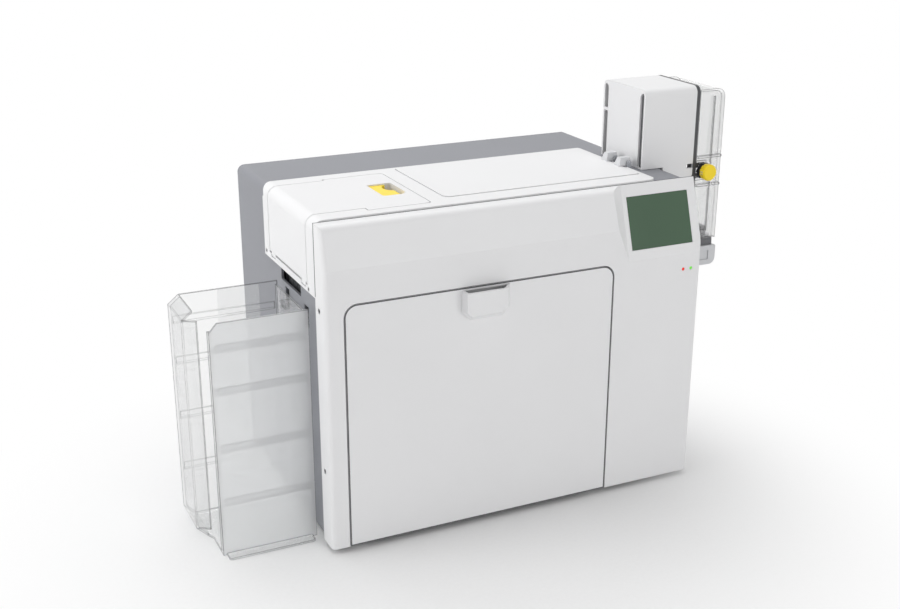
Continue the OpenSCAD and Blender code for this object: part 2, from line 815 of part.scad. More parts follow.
module feeder_tower() {
    low = housing_top + air;
    color("whitesmoke") difference() {
        union() {
            difference() {
                along_x(tower_x, tower_x1) panel([tower_front, feeder_deck], [tower_y1, tower_top], [0, 0, 7, 7]);
                along_x(tower_x + tower_wall, tower_x1 + 1) panel([tower_front + tower_wall, feeder_deck - 1],
                    [tower_y1 - tower_wall, tower_top - tower_wall], [0, 0, 5, 5]);
            }
            // Pad behind the keeper of the release pin
            block([tower_x1 - 9, tower_front + tower_wall - e, knob_z - 8], [tower_x1, keeper_y - 0.02, knob_z + 8]);
            // Knuckles on the hinge line
            for (z = knuckle_z) {
                translate([pin_x, pin_y, z]) cylinder(r = 2.5, h = 14);
                block([pin_x - 6, tower_y1 - 1, z], [pin_x - air, pin_y + 0.6, z + 14]);
            }
        }
        // The part on top of the housing ends there
        block([tower_x - 1, tower_front - 1, 0], [housing_x1 + air, tower_y1 + 1, low]);
        // Long slots beside the left panel
        along_x(tower_x - 1, tower_x + tower_wall + 1) {
            panel([tower_front + tower_wall, low + 1], [tower_front + tower_wall + 6.5, tower_top - 3.5], [0, 0, 5, 3]);
            panel([tower_y1 - tower_wall - 6.5, low + 1], [tower_y1 - tower_wall, tower_top - 31], [0, 0, 0, 0]);
            panel([tower_y1 - tower_wall - 6.5, tower_top - 28], [tower_y1 - tower_wall, tower_top - 3.5], [0, 0, 3, 5]);
        }
        // Window of the stack light
        along_y(tower_front - 1, tower_front + tower_wall + 1)
            panel([tower_x1 - 11.9, knob_z + 4], [tower_x1 - 3.9, knob_z + 8.4], [0.8, 0.8, 0.8, 0.8]);
        bar_y(tower_x1 - 3.7, knob_z - 4.5, 0.9, tower_front - 1, tower_front + 1);
        for (z = knuckle_z) translate([pin_x, pin_y, z - 1]) cylinder(r = feeder_pin_r + run, h = 16);
    }
}

// Two steel fingers that hold the release pin between them
module pin_keeper() {
    gap = plunger_r + 0.4;
    for (z = [knob_z - gap - 5.2, knob_z + gap])
        color("silver") block([tower_x1 - 8, keeper_y, z], [knob_x + 3.6, keeper_y + keeper_t, z + 5.2]);
}

// Dark channel that guides the cards
module card_well() {
    x0 = tower_x + tower_wall + air;
    y0 = tower_front + tower_wall + air;
    y1 = card_y + card_l + well_wall;
    color("dimgray") difference() {
        along_z(tray_z + 0.3, tower_top - 6) difference() {
            translate([x0, y0]) square([tower_x1 - 12 - x0, y1 - y0]);
            translate([x0 + well_wall, y0 + well_wall]) square([tower_w, y1 - y0 - 2 * well_wall]);
        }
        // Feed gap under the left wall
        block([x0 - 1, y0 + well_wall, tray_z - 1], [x0 + 2, y1 - well_wall, path_z + 2]);
        // Round holes that show the height of the stack
        for (z = [250, 290, 330]) bar_x(y0 + 29, z, 6, x0 - 1, x0 + 3);
    }
    // Stand-offs to the tower's rear wall
    color("dimgray") for (z = [320, 366])
        block([x0 + 12, y1 - e, z], [x0 + 18, tower_y1 - tower_wall - air, z + 6]);
}

well_wall = 0.9;
card_l = 27.4;
card_floor = path_z - 0.6;

module card_tray() {
    x0 = housing_x1 + air + 4.5;
    x1 = feeder_right - 1.6;
    y0 = tower_front + 2.6;
    y1 = tower_y1 - 2.6;
    rx = pick_x;
    color("dimgray") difference() {
        union() {
            along_z(feeder_deck, tray_z - 2 + e) difference() {
                translate([x0, y0]) square([x1 - x0, y1 - y0]);
                translate([x0 + 2, y0 + 2]) square([x1 - x0 - 4, y1 - y0 - 4]);
            }
            block([tower_x + 4, y0 + 0.4, tray_z - 2], [x1, y1, tray_z]);
            // Rails that carry the cards at the height of the card path
            for (y = [card_y - 25, card_y + 23.5])
                block([tower_x + 6, y, tray_z - e], [x1 - 6.5, y + 1.5, card_floor]);
            // Bearings of the pick roller
            for (y = pick_ends) along_y(y, y + 4) {
                translate([rx - 5, pick_z]) square([10, tray_z - 1 - pick_z]);
                translate([rx, pick_z]) circle(5);
            }
        }
        block([rx - pick_r - 1, pick_ends[0] + 5, tray_z - 3], [rx + pick_r + 1, pick_ends[1] - 1, tray_z + 1]);
        for (y = pick_ends) bar_y(rx, pick_z, shaft_r + run, y - 1.3, y + 5.3);
        // Slots for fingers under the last card
        block([x1 - 16, card_y - 12, tray_z - 3], [x1 - 2.5, card_y + 12, tray_z + 1]);
    }
}

pick_r = 8.5;
pick_x = tower_x + 43.6;
pick_z = card_floor + 0.1 - pick_r;
pick_ends = [card_y - 22, card_y + 18];

// Roller with grooves and a shaft
module roller(x, z, r, y0, y1, s, sy0, sy1) {
    difference() {
        bar_y(x, z, r, y0, y1);
        for (i = [1:3]) let (y = y0 + i * (y1 - y0) / 4) difference() {
            bar_y(x, z, r + 1, y - 0.6, y + 0.6);
            bar_y(x, z, r - 0.8, y - 1, y + 1);
        }
    }
    bar_y(x, z, s, sy0, y0 + e);
    bar_y(x, z, s, y1 - e, sy1);
}

module pick_roller() {
    color("dimgray") roller(pick_x, pick_z, pick_r, card_y - 14, card_y + 14, shaft_r, pick_ends[0] - 1, pick_ends[1] + 5);
}

module card_weight() {
    z0 = card_floor + 0.4;
    color("gray") difference() {
        union() {
            along_z(z0, z0 + 4) panel([tower_x + 8, card_y - 24], [tower_x + 88, card_y + 24], [3, 3, 3, 3]);
            along_z(z0 + 3.9, z0 + 8) panel([tower_x + 20, card_y - 14], [tower_x + 70, card_y + 14], [5, 5, 5, 5]);
        }
        // Finger dish
        translate([tower_x + 45, card_y, z0 + 29]) sphere(r = 24);
    }
}

// Outline of the clear door in X and Z, inset by a wall
module clear_outline(t) {
    panel([door_x0 - (t > 0 ? 9 : 0), tray_z + 0.6 - (t > 0 ? 9 : 0)], [feeder_right - t, tower_top - 4 - t],
        [0, 0, 9 - t, 0]);
}

module feeder_door() {
    t = 2.3;
    bar_z = [knob_z - 16, knob_z + 13];
    color("white") difference() {
        union() {
            difference() {
                along_y(tower_front, tower_y1) clear_outline(0);
                along_y(tower_front + t, tower_y1 - t) clear_outline(t);
            }
            // Bars of the knob's bay
            for (z = bar_z) along_y(tower_front - 2.6, tower_front + e)
                panel([door_x0 + 0.6, z], [feeder_right - 1, z + 2.4], [0.6, 0.6, 0.6, 0.6]);
            // Upright rib inside the front
            block([door_x0 + 18, tower_front + t - e, tray_z + 8], [door_x0 + 19.6, tower_front + t + 1, tower_top - 12]);
            // Knuckles
            for (z = door_knuckle_z) {
                translate([pin_x, pin_y, z]) cylinder(r = 2.5, h = 14);
                block([pin_x, tower_y1 - 0.6, z], [pin_x + 6, pin_y + 0.6, z + 14]);
            }
        }
        bar_y(knob_x, knob_z, plunger_r + run, tower_front - 1, tower_front + t + 3);
        // Thinner wall that swings clear of the keeper
        block([door_x0 - 1, tower_front + 1.3, knob_z - 10], [knob_x + 4.5, tower_front + t + 1, knob_z + 10]);
        for (z = door_knuckle_z)
            translate([pin_x, pin_y, z - 1]) cylinder(r = feeder_pin_r + run, h = 16);
        // Clear the tower's knuckles
        for (z = knuckle_z) translate([pin_x, pin_y, z - 0.3]) cylinder(r = 2.9, h = 14.6);
    }
}

module feeder_pin() {
    color("silver") translate([pin_x, pin_y, tray_z + 9]) cylinder(r = feeder_pin_r, h = tower_top - 243);
    color("silver") translate([pin_x, pin_y, tower_top - 8.5]) cylinder(r = 2.2, h = 1.6);
}

plunger_r = 2.4;
knob_back = tower_front - 6;

module knob() {
    color("gold") difference() {
        union() {
            bar_y(knob_x, knob_z, knob_r, knob_back - 5.4, knob_back);
            translate([knob_x, knob_back - 5.4 + e, knob_z]) rotate([90, 0, 0])
                cylinder(r1 = knob_r, r2 = knob_r - 1.4, h = 1.4);
        }
        // Grip flutes round the edge
        for (i = [0:11]) translate([knob_x, 0, knob_z]) rotate([0, i * 30, 0])
            bar_y(knob_r + 0.5, 0, 1, knob_back - 8, knob_back + 1);
    }
    color("silver") bar_y(knob_x, knob_z, plunger_r, knob_back - e, keeper_y + keeper_t - 0.1);
}

module knob_collar() {
    color("dimgray") difference() {
        union() {
            bar_y(knob_x, knob_z, 6.6, tower_front - 3.2, tower_front - 0.02);
            along_y(tower_front - 1.6, tower_front - 0.02) circle_at(knob_x, knob_z, 8.6, 6);
        }
        bar_y(knob_x, knob_z, plunger_r + 0.3, tower_front - 8, tower_front + 1);
    }
}

module circle_at(x, z, r, n) {
    translate([x, z]) circle(r, $fn = n);
}

// ---- Output hopper ----
hopper_y1 = hopper_y + hopper_d;
hook_y = [58, 112];
hook_z = hopper_top - 22;
hopper_low = 0.6;
slot_y = hopper_y + 33.4;
cheek_y = hopper_y + 41.2;
band_z = [49.5, 102.5, 157.5, 197.5];

// Left outline of the hopper in X and Z, inset by a wall
module hopper_outline(t) {
    c = hopper_chamfer;
    k = t * 0.414;
    x0 = -hopper_out + t;
    z1 = hopper_top + (t > 0 ? 5 : 0);
    polygon([[-hopper_side + (t > 0 ? 5 : 0), hopper_low + t], [-hopper_out + c + k, hopper_low + t],
        [x0, hopper_low + c + k], [x0, hopper_top - c * 0.8 - k], [-hopper_out + c, hopper_top - t * 1.1],
        [-hopper_out + c, z1], [-hopper_side + (t > 0 ? 5 : 0), z1]]);
}

module output_hopper() {
    t = clear_wall;
    fx = -hopper_front_out;
    color("white") difference() {
        union() {
            // Deep part with the chamfered outer edges
            difference() {
                along_y(cheek_y, hopper_y1) hopper_outline(0);
                along_y(cheek_y - 1, hopper_y1 - t) hopper_outline(t);
            }
            // Floor of the front part
            along_z(hopper_low, hopper_low + t) polygon([[fx, hopper_y], [-hopper_side, hopper_y],
                [-hopper_side, cheek_y + e], [-hopper_out + hopper_chamfer, cheek_y + e], [fx, slot_y]]);
            // Front wall with its cut corner
            along_y(hopper_y, hopper_y + t) polygon([[fx, hopper_low], [-hopper_side, hopper_low],
                [-hopper_side, hopper_top], [fx + 7.5, hopper_top], [fx, hopper_top - 8.5]]);
            // Returned rim beside the finger slot
            block([fx, hopper_y + t - e, hopper_low], [fx + t, hopper_y + 7, hopper_top - 8.5]);
            // Slanted rim on the other side of the slot
            along_z(hopper_low + hopper_chamfer, hopper_top - hopper_chamfer * 0.8) polygon([
                [-hopper_out, cheek_y], [-hopper_out + 11.5, slot_y], [-hopper_out + 13, slot_y + 2],
                [-hopper_out + t, cheek_y + 1.6], [-hopper_out, cheek_y + 1.6]]);
            // Wall towards the machine
            block([-hopper_side - t, hopper_y + t - e, hopper_low], [-hopper_side, hopper_y1 - t + e, hopper_top - 3.5]);
            // Lip of the base in front
            along_z(hopper_low, hopper_low + t) panel([fx + 3.2, hopper_y - 10.5], [-hopper_side - 4.4, hopper_y + e], [3, 3, 0, 0]);
            // Level bands on the front and rear walls
            for (z = band_z) {
                along_x(fx + 5, -hopper_side - t + e) band_2d(hopper_y + t - e, z, 1);
                along_x(-hopper_out + 4, -hopper_side - 3) band_2d(hopper_y1 - e, z, 1);
            }
            // Hooks
            for (y = hook_y) {
                block([-hopper_side - e, y - 5, hook_z], [housing_in + wall + 2.8, y + 5, hook_z + 6]);
                block([housing_in + wall + 0.4, y - 5, hook_z - 8], [housing_in + wall + 2.8, y + 5, hook_z + 0.1]);
            }
        }
    }
}

// Raised band with sloping edges in Y and Z
module band_2d(y, z, way) {
    polygon([[y, z], [y + way * 1.4, z + 1.2], [y + way * 1.4, z + 6.4], [y, z + 7.6]]);
}

// ---- Frame ----
tie = [[frame_x + 8, frame_top - 14], [frame_x + 8, 24], [frame_right - 8, frame_top - 14],
    [frame_right - 10, 24], [232, frame_top - 14]];
feed_z = path_z - nip - feed_r;
feed_x = [frame_right - 20, film_x + 20, frame_x + 7];
clean_z = path_z + nip + feed_r;
press_z = path_z + nip + press_r;
hot_z = path_z - nip - hot_r;
head_pivot = [104, 96];
head_pivot_r = 3.5;
cantilever_r = 4;

module frame_outline(y0, rear) {
    along_y(y0, y0 + sheet) difference() {
        panel([frame_x, base_z], [frame_right, frame_top], [0, 0, 8, 8]);
        if (!rear) {
            panel([28, 20], [280, 212], [4, 4, 4, 4]);
            translate([transfer_x - 20, 205]) square([56, 33.8]);
        }
        for (x = feed_x) translate([x, feed_z]) circle(shaft_r + run);
        translate([feed_x[0], clean_z]) circle(shaft_r + run);
        translate([transfer_x, press_z]) circle(shaft_r + run);
        translate([flipper_x, path_z]) circle(flipper_pin_r + run);
        // Openings that lighten the plate
        for (x = [140, 285]) panel2(x, 256, 26, 22);
        if (rear) {
            translate([transfer_x, hot_z]) circle(cantilever_r + 2);
            translate([platen_x, platen_z]) circle(cantilever_r + 2);
            translate(head_pivot) circle(head_pivot_r + run);
            for (p = [[205, 40], [300, 60], [300, 110], [40, 196]]) panel2(p.x, p.y, 26, 24);
        }
    }
}

module panel2(x, z, w, h) {
    panel([x, z], [x + w, z + h], [4, 4, 4, 4]);
}

flipper_pin_r = 5;

module front_frame() {
    color("silver") {
        frame_outline(frame_front, false);
        // Foot flange
        block([frame_x + 4, frame_front + sheet - e, base_z], [frame_right - 4, frame_front + 10, base_z + sheet]);
    }
}

module rear_frame() {
    color("silver") {
        frame_outline(frame_rear, true);
        block([frame_x + 4, frame_rear + sheet - e, base_z], [frame_right - 4, frame_rear + 10, base_z + sheet]);
        // Tie bars
        for (p = tie) bar_y(p.x, p.y, 4, frame_front + sheet, frame_rear + e);
        // Bearings of the overhung rollers
        for (p = [[transfer_x, hot_z], [platen_x, platen_z]]) difference() {
            bar_y(p.x, p.y, 10, frame_rear + sheet - e, frame_rear + sheet + 11);
            bar_y(p.x, p.y, cantilever_r + run, frame_rear, frame_rear + sheet + 12);
        }
        difference() {
            bar_y(head_pivot.x, head_pivot.y, 8, frame_rear + sheet - e, frame_rear + sheet + 9);
            bar_y(head_pivot.x, head_pivot.y, head_pivot_r + run, frame_rear, frame_rear + sheet + 12);
        }
    }
}

// ---- Card path ----
guide_w = 1.2;
guide_low = path_z - 1.8;

module card_guide() {
    spans = [[flipper_x + flipper_r + 1.5, transfer_x - hot_r - 2.5],
        [transfer_x + hot_r + 2.5, frame_right - 2]];
    color("silver") difference() {
        union() {
            for (s = spans) along_x(s[0], s[1]) {
                translate([card_y0 - guide_w, guide_low]) square([card_w + 2 * guide_w, guide_w]);
                for (y = [card_y0 - guide_w, card_y1]) translate([y, guide_low]) square([guide_w, 6]);
            }
            // Tabs to both frame plates
            for (x = [122, 152, 222, 300, 346]) {
                block([x, frame_front + sheet, guide_low], [x + 8, card_y0 - guide_w + e, guide_low + guide_w]);
                block([x, card_y1 + guide_w - e, guide_low], [x + 8, frame_rear, guide_low + guide_w]);
            }
        }
        for (x = [feed_x[0], feed_x[1]])
            block([x - feed_r - 0.8, card_y - 24.5, guide_low - 1], [x + feed_r + 0.8, card_y + 24.5, guide_low + guide_w + 1]);
        // Row of sensor holes
        for (x = [135, 205, 230, 290, 310]) translate([x, card_y, guide_low - 1]) cylinder(r = 2.2, h = 4);
    }
}

pulley_r = 6;
belt_y = frame_rear + 16;

// Feed roller with its pulley behind the rear frame
module feed_roller(x) {
    roller(x, feed_z, feed_r, card_y - 23, card_y + 23, shaft_r, frame_front - 1.5, belt_y + 6);
    bar_y(x, feed_z, pulley_r, belt_y, belt_y + 5);
    bar_y(x, feed_z, pulley_r + 1.6, belt_y - 1.2, belt_y);
}

module feed_roller_in() {
    color("dimgray") feed_roller(feed_x[0]);
}

module feed_roller_mid() {
    color("dimgray") feed_roller(feed_x[1]);
}

module feed_roller_out() {
    color("dimgray") feed_roller(feed_x[2]);
}

module cleaning_roller() {
    color("lightblue") roller(feed_x[0], clean_z, feed_r, card_y - 23, card_y + 23, shaft_r,
        frame_front - 1.5, frame_rear + sheet + 2);
}

module drive_belt() {
    color("dimgray") along_y(belt_y + 0.6, belt_y + 4.4) difference() {
        belt_loop(pulley_r + 1.5);
        belt_loop(pulley_r + air);
    }
}

module belt_loop(r) {
    translate([feed_x[2], feed_z - r]) square([feed_x[0] - feed_x[2], 2 * r]);
    for (x = [feed_x[2], feed_x[0]]) translate([x, feed_z]) circle(r);
}

motor_x = 299;
motor_y = belt_y + 8.5;
motor_side = 42;

module motor_pulley() {
    color("silver") {
        bar_y(motor_x, feed_z, pulley_r, belt_y, belt_y + 5);
        bar_y(motor_x, feed_z, 2.5, belt_y + 4.9, motor_y + 3);
    }
}

module drive_motor() {
    m = motor_side / 2;
    color("dimgray") difference() {
        union() {
            along_y(motor_y, motor_y + 34) panel([motor_x - m, feed_z - m], [motor_x + m, feed_z + m], [5, 5, 5, 5]);
            for (i = [-1, 1], j = [-1, 1])
                bar_y(motor_x + i * 15.5, feed_z + j * 15.5, 3, frame_rear + sheet, motor_y + e);
        }
        bar_y(motor_x, feed_z, 2.5 + run, motor_y - 1, motor_y + 5);
        // Grooves between the laminations and the end caps
        for (y = [motor_y + 8, motor_y + 25]) difference() {
            block([motor_x - m - 1, y, feed_z - m - 1], [motor_x + m + 1, y + 1, feed_z + m + 1]);
            along_y(y - 1, y + 2) panel([motor_x - m + 0.8, feed_z - m + 0.8], [motor_x + m - 0.8, feed_z + m - 0.8], [5, 5, 5, 5]);
        }
    }
}

module flipper() {
    y = [card_y0 - 4.5, card_y1 + 2.5];
    color("lightsteelblue") {
        for (k = [0, 1]) along_y(y[k], y[k] + 2) difference() {
            translate([flipper_x, path_z]) circle(flipper_r);
            for (a = [45:90:315]) translate([flipper_x + 27 * cos(a), path_z + 27 * sin(a)]) circle(9);
            translate([flipper_x - 60, path_z + 38]) square([120, 20]);
            translate([flipper_x - 60, path_z - 58]) square([120, 20]);
        }
        bar_y(flipper_x, path_z, flipper_pin_r, frame_front - 1.5, y[0] + e);
        bar_y(flipper_x, path_z, flipper_pin_r, y[1] + 2 - e, frame_rear + sheet + 2);
        // Guide plates above and below the card
        for (s = [0, 1]) difference() {
            block([flipper_x - 41, y[0] + 2 - e, s > 0 ? path_z + 0.8 : path_z - 2], [flipper_x + 41, y[1] + e, s > 0 ? path_z + 2 : path_z - 0.8]);
            for (x = [-24, 24]) block([flipper_x + x - 7, card_y - 21, path_z - 3], [flipper_x + x + 7, card_y + 21, path_z + 3]);
        }
        // Pinch rollers
        for (x = [-24, 24], s = [-1, 1]) {
            bar_y(flipper_x + x, path_z + s * 6.5, 6, card_y - 20, card_y + 20);
            bar_y(flipper_x + x, path_z + s * 6.5, 2.5, y[0] + 2 - e, y[1] + e);
        }
    }
}

// ---- Print unit ----
module overhung(x, z, r) {
    y1 = card_y1 + 1;
    bar_y(x, z, r, card_y0 - 0.5, y1);
    bar_y(x, z, cantilever_r, y1 - e, frame_rear + sheet + 13);
}

module hot_roller() {
    color("brown") overhung(transfer_x, hot_z, hot_r);
}

module platen_roller() {
    color("dimgray") overhung(platen_x, platen_z, platen_r);
}

module pressure_roller() {
    color("dimgray") roller(transfer_x, press_z, press_r, card_y0 - 0.5, card_y1 + 1, shaft_r,
        frame_front - 1.5, frame_rear + sheet + 2);
}

head_tip = platen_x - platen_r - 2.6;

module print_head() {
    color("silver") {
        // Arms from the pivot to the head
        for (y = [card_y0, card_y1 - 3]) along_y(y, y + 2) difference() {
            union() {
                translate(head_pivot) circle(6);
                polygon([head_pivot + [-5, 3], head_pivot + [5, -3], [head_tip - 4, platen_z - 9],
                    [head_tip - 4, platen_z + 9], [head_tip - 16, platen_z + 9]]);
            }
            translate(head_pivot + [13, 21]) circle(3.5);
        }
        bar_y(head_pivot.x, head_pivot.y, head_pivot_r, card_y0 + 1, frame_rear + sheet + 10);
        // Head block with its fins
        difference() {
            along_y(card_y0 + 2 - e, card_y1 - 3 + e) union() {
                translate([head_tip - 7, platen_z - 9]) square([5, 18]);
                polygon([[head_tip - 2.1, platen_z - 6], [head_tip, platen_z - 1.5], [head_tip, platen_z + 1.5], [head_tip - 2.1, platen_z + 6]]);
                for (i = [0:4]) translate([head_tip - 15, platen_z - 9 + i * 4.1]) square([8.1, 1.6]);
            }
        }
    }
}

// ---- Cassettes ----
plate_y = frame_front - 0.3 - 3;
rear_plate_y = card_y1 + 2.5;
ribbon_z = [142, 58];
film_z = [72, 160];
hub_r = 4;

// Spool with a wound roll, its core and hub pins
module spool(x, z, full) {
    bar_y(x, z, core_r, plate_y + 3 + air, rear_plate_y - air);
    bar_y(x, z, full, card_y0 - 1, card_y1 - 1);
    bar_y(x, z, hub_r, plate_y, plate_y + 3 + air + e);
    bar_y(x, z, hub_r, rear_plate_y - air - e, rear_plate_y + 3);
}

module ribbon_supply() {
    color("slategray") spool(ribbon_x, ribbon_z[0], ribbon_full_r);
}

module ribbon_takeup() {
    color("slategray") spool(ribbon_x, ribbon_z[1], 14);
}

module film_supply() {
    color("lightgray") spool(film_x, film_z[0], film_full_r);
}

module film_takeup() {
    color("lightgray") spool(film_x, film_z[1], film_take_r);
}

// Pull of a cassette, open behind the bow
module cassette_pull_bow(x, z, h) {
    difference() {
        along_x(x - 6, x + 6) polygon([[plate_y + e, z], [plate_y - 12, z + 4], [plate_y - 12, z + h - 4], [plate_y + e, z + h]]);
        along_x(x - 7, x + 7) polygon([[plate_y + 1, z + 6], [plate_y - 9.5, z + 7.5], [plate_y - 9.5, z + h - 7.5], [plate_y + 1, z + h - 6]]);
    }
}

module ribbon_cassette() {
    bores = [for (z = ribbon_z) [ribbon_x, z]];
    color("steelblue") {
        along_y(plate_y, plate_y + 3) difference() {
            panel([24, 16], [138, 184], [6, 6, 6, 6]);
            panel([92, 78], [124, 118], [4, 4, 4, 4]);
            panel([46, 90], [66, 110], [4, 4, 4, 4]);
            for (p = bores) translate(p) circle(hub_r + run);
        }
        // Rear plate, open round the print head
        along_y(rear_plate_y, rear_plate_y + 3) difference() {
            panel([32, 26], [137, 178], [6, 6, 6, 6]);
            translate([92, 80]) square([33.5, 66]);
            translate([120, 111]) square([30, 35]);
            for (p = bores) translate(p) circle(hub_r + run);
        }
        // Spine rods and web guides, with locating pegs towards the rear frame
        for (p = [[40, 40], [40, 164], [40, 100]]) bar_y(p.x, p.y, 4, plate_y + 3 - e, rear_plate_y + e);
        for (p = ribbon_guides) bar_y(p.x, p.y, 3.4, plate_y + 3 - e, rear_plate_y + e);
        for (p = [[40, 50], [40, 154]]) bar_y(p.x, p.y, 3, rear_plate_y + 3 - e, frame_rear - air);
        cassette_pull_bow(ribbon_x, 82, 36);
    }
}

ribbon_guides = [[130, 153], [130, 107]];

// Point where a line from p touches a circle, on the chosen side
function touch(c, r, p, side) = let (d = p - c, a = atan2(d.y, d.x) + side * acos(r / norm(d)))
    c + r * [cos(a), sin(a)];

// Direction of the normal of the line that lies against two circles on the same side
function lean(c, r, d, q) = let (v = d - c) atan2(v.y, v.x) + acos((r - q) / norm(v));

// Points on a circle between two directions
function wrap(c, r, a0, a1, n) = [for (i = [0:n]) let (a = a0 + (a1 - a0) * i / n) c + r * [cos(a), sin(a)]];

module ribbon_web() {
    high = ribbon_guides[0] + [0, 3.8];
    low = ribbon_guides[1] + [0, -3.8];
    px = head_tip + 0.9;
    color("dimgray") along_y(card_y0 - 1, card_y1 - 1) web_line(concat(
        [touch([ribbon_x, ribbon_z[0]], ribbon_full_r + 0.2, high, 1)],
        wrap(ribbon_guides[0], 3.8, 85, 5, 4), [[px, platen_z + 6], [px, platen_z - 6]],
        wrap(ribbon_guides[1], 3.8, -5, -60, 3),
        [touch([ribbon_x, ribbon_z[1]], 14.2, low, -1)]), 0.3);
}

module film_cassette() {
    bores = [for (z = film_z) [film_x, z]];
    color("darkslategray") {
        along_y(plate_y, plate_y + 3) difference() {
            panel([204, 16], [286, 208], [6, 6, 6, 6]);
            panel([212, 104], [226, 132], [4, 4, 4, 4]);
            panel([258, 104], [276, 132], [4, 4, 4, 4]);
            for (p = bores) translate(p) circle(hub_r + run);
        }
        along_y(rear_plate_y, rear_plate_y + 3) difference() {
            panel([214, 28], [278, 200], [6, 6, 6, 6]);
            panel([224, 106], [262, 132], [4, 4, 4, 4]);
            for (p = bores) translate(p) circle(hub_r + run);
        }
        for (p = [[272, 40], [272, 190], [272, 116]]) bar_y(p.x, p.y, 4, plate_y + 3 - e, rear_plate_y + e);
        for (p = [[264, 34], [264, 194]]) bar_y(p.x, p.y, 3, rear_plate_y + 3 - e, frame_rear - air);
        cassette_pull_bow(film_x, 99, 36);
    }
}

module film_web() {
    p = [platen_x, platen_z];
    h = [transfer_x, hot_z];
    s = [film_x, film_z[0]];
    t = [film_x, film_z[1]];
    rp = platen_r + 0.45;
    rh = hot_r + 0.5;
    rs = film_full_r + 0.2;
    rt = film_take_r + 0.2;
    a = lean(s, rs, p, rp);
    b = lean(p, rp, h, rh);
    c = lean(h, rh, t, rt);
    color("lightgray") along_y(card_y0 - 1, card_y1 - 1) web_line(concat([s + rs * [cos(a), sin(a)]],
        wrap(p, rp, a, b, 4), wrap(h, rh, b, c, 7), [t + rt * [cos(c), sin(c)]]), 0.2);
}

film_take_r = 15;

// ---- Electronics ----
module main_board() {
    y0 = 152;
    y1 = body_d - 8;
    color("seagreen") {
        difference() {
            block([board_x, y0, board_z], [board_x + board_w, y1, board_z + 1.6]);
            for (x = [board_x + 5, board_x + board_w - 5], y = [y0 + 5, y1 - 5])
                translate([x, y, board_z - 1]) cylinder(r = 1.6, h = 4);
        }
        for (x = [board_x + 5, board_x + board_w - 5], y = [y0 + 5, y1 - 5]) translate([x, y, base_z]) difference() {
            cylinder(r = 3.4, h = board_z - base_z, $fn = 6);
            translate([0, 0, 2]) cylinder(r = 1.5, h = 20);
        }
        top = board_z + 1.6;
        block([board_x + 60, y0 + 26, top], [board_x + 84, y0 + 50, top + 2.2]);
        block([board_x + 100, y0 + 20, top], [board_x + 112, y0 + 44, top + 1.4]);
        block([board_x + 118, y0 + 20, top], [board_x + 130, y0 + 44, top + 1.4]);
        for (i = [0:3]) translate([board_x + 22 + i * 9, y0 + 24, top]) cylinder(r = 3, h = 9);
        for (i = [0:4]) block([board_x + 12 + i * 28, y0 + 3, top], [board_x + 30 + i * 28, y0 + 9, top + 7]);
    }
    // Socket shells at the rear edge
    color("silver") {
        port(usb_x, usb_w, usb_h);
        port(net_x, net_w, net_h);
    }
}

module port(x, w, h) {
    z = board_z + 1.6;
    difference() {
        block([x, body_d - 22, z], [x + w, body_d - 0.4, z + h]);
        block([x + 1.2, body_d - 14, z + 1.2], [x + w - 1.2, body_d + 1, z + h - 1.2]);
    }
    block([x + 3, body_d - 14.1, z + h / 2 - 0.8], [x + w - 3, body_d - 3, z + h / 2 + 0.8]);
}

module power_supply() {
    x0 = 222;
    color("silver") difference() {
        block([x0, 150, base_z], [x0 + supply_w, 228, base_z + 50]);
        block([x0 + sheet, 150 + sheet, base_z + sheet], [x0 + supply_w - sheet, 228 - sheet, base_z + 50 - sheet]);
        for (i = [0:9], j = [0:5]) translate([x0 + 12 + i * 9.4, 164 + j * 10, base_z + 45]) cylinder(r = 2.6, h = 10);
    }
    // Terminal strip
    color("silver") block([x0 + 30, 228 - e, base_z + 6], [x0 + 90, 236, base_z + 18]);
}

module mains_inlet() {
    cx = inlet_x + inlet_w / 2;
    cz = socket_z + inlet_h / 2;
    color("dimgray") difference() {
        union() {
            block([inlet_x + 0.2, body_d - 20, socket_z + 0.2], [inlet_x + inlet_w - 0.2, body_d + 0.1, socket_z + inlet_h - 0.2]);
            along_y(body_d, body_d + 1.5) panel([inlet_x - 2, socket_z - 2], [inlet_x + inlet_w + 2, socket_z + inlet_h + 2], [2, 2, 2, 2]);
        }
        along_y(body_d - 15, body_d + 2) polygon([[cx - 11, cz - 8], [cx + 11, cz - 8], [cx + 11, cz + 3], [cx + 6, cz + 8], [cx - 6, cz + 8], [cx - 11, cz + 3]]);
    }
    color("silver") {
        for (i = [-1, 1]) block([cx + i * 7 - 1, body_d - 15.1, cz - 4], [cx + i * 7 + 1, body_d - 3, cz]);
        block([cx - 1, body_d - 15.1, cz + 1], [cx + 1, body_d - 3, cz + 5]);
    }
    // Frame of the power switch
    sx = switch_x;
    sz = socket_z + 2;
    color("dimgray") difference() {
        union() {
            block([sx + 0.2, body_d - 12, sz + 0.2], [sx + switch_w - 0.2, body_d + 0.1, sz + switch_h - 0.2]);
            along_y(body_d, body_d + 1.2) panel([sx - 1.4, sz - 1.4], [sx + switch_w + 1.4, sz + switch_h + 1.4], [1, 1, 1, 1]);
        }
        block([sx + 1.4, body_d - 10, sz + 1.4], [sx + switch_w - 1.4, body_d + 2, sz + switch_h - 1.4]);
    }
}

switch_y = body_d - 4;
switch_z = socket_z + 2 + switch_h / 2;

module power_switch() {
    h = switch_h / 2 - 1.8;
    color("dimgray") translate([switch_x + 1.7, switch_y, switch_z]) rotate([90, 0, 90]) linear_extrude(switch_w - 3.4)
        polygon([[-3, -2.4], [3, -h + 0.4], [4.1, -h + 1], [4.5, 0], [6.3, h - 2], [5.2, h - 1], [-3, 2.4]]);
}

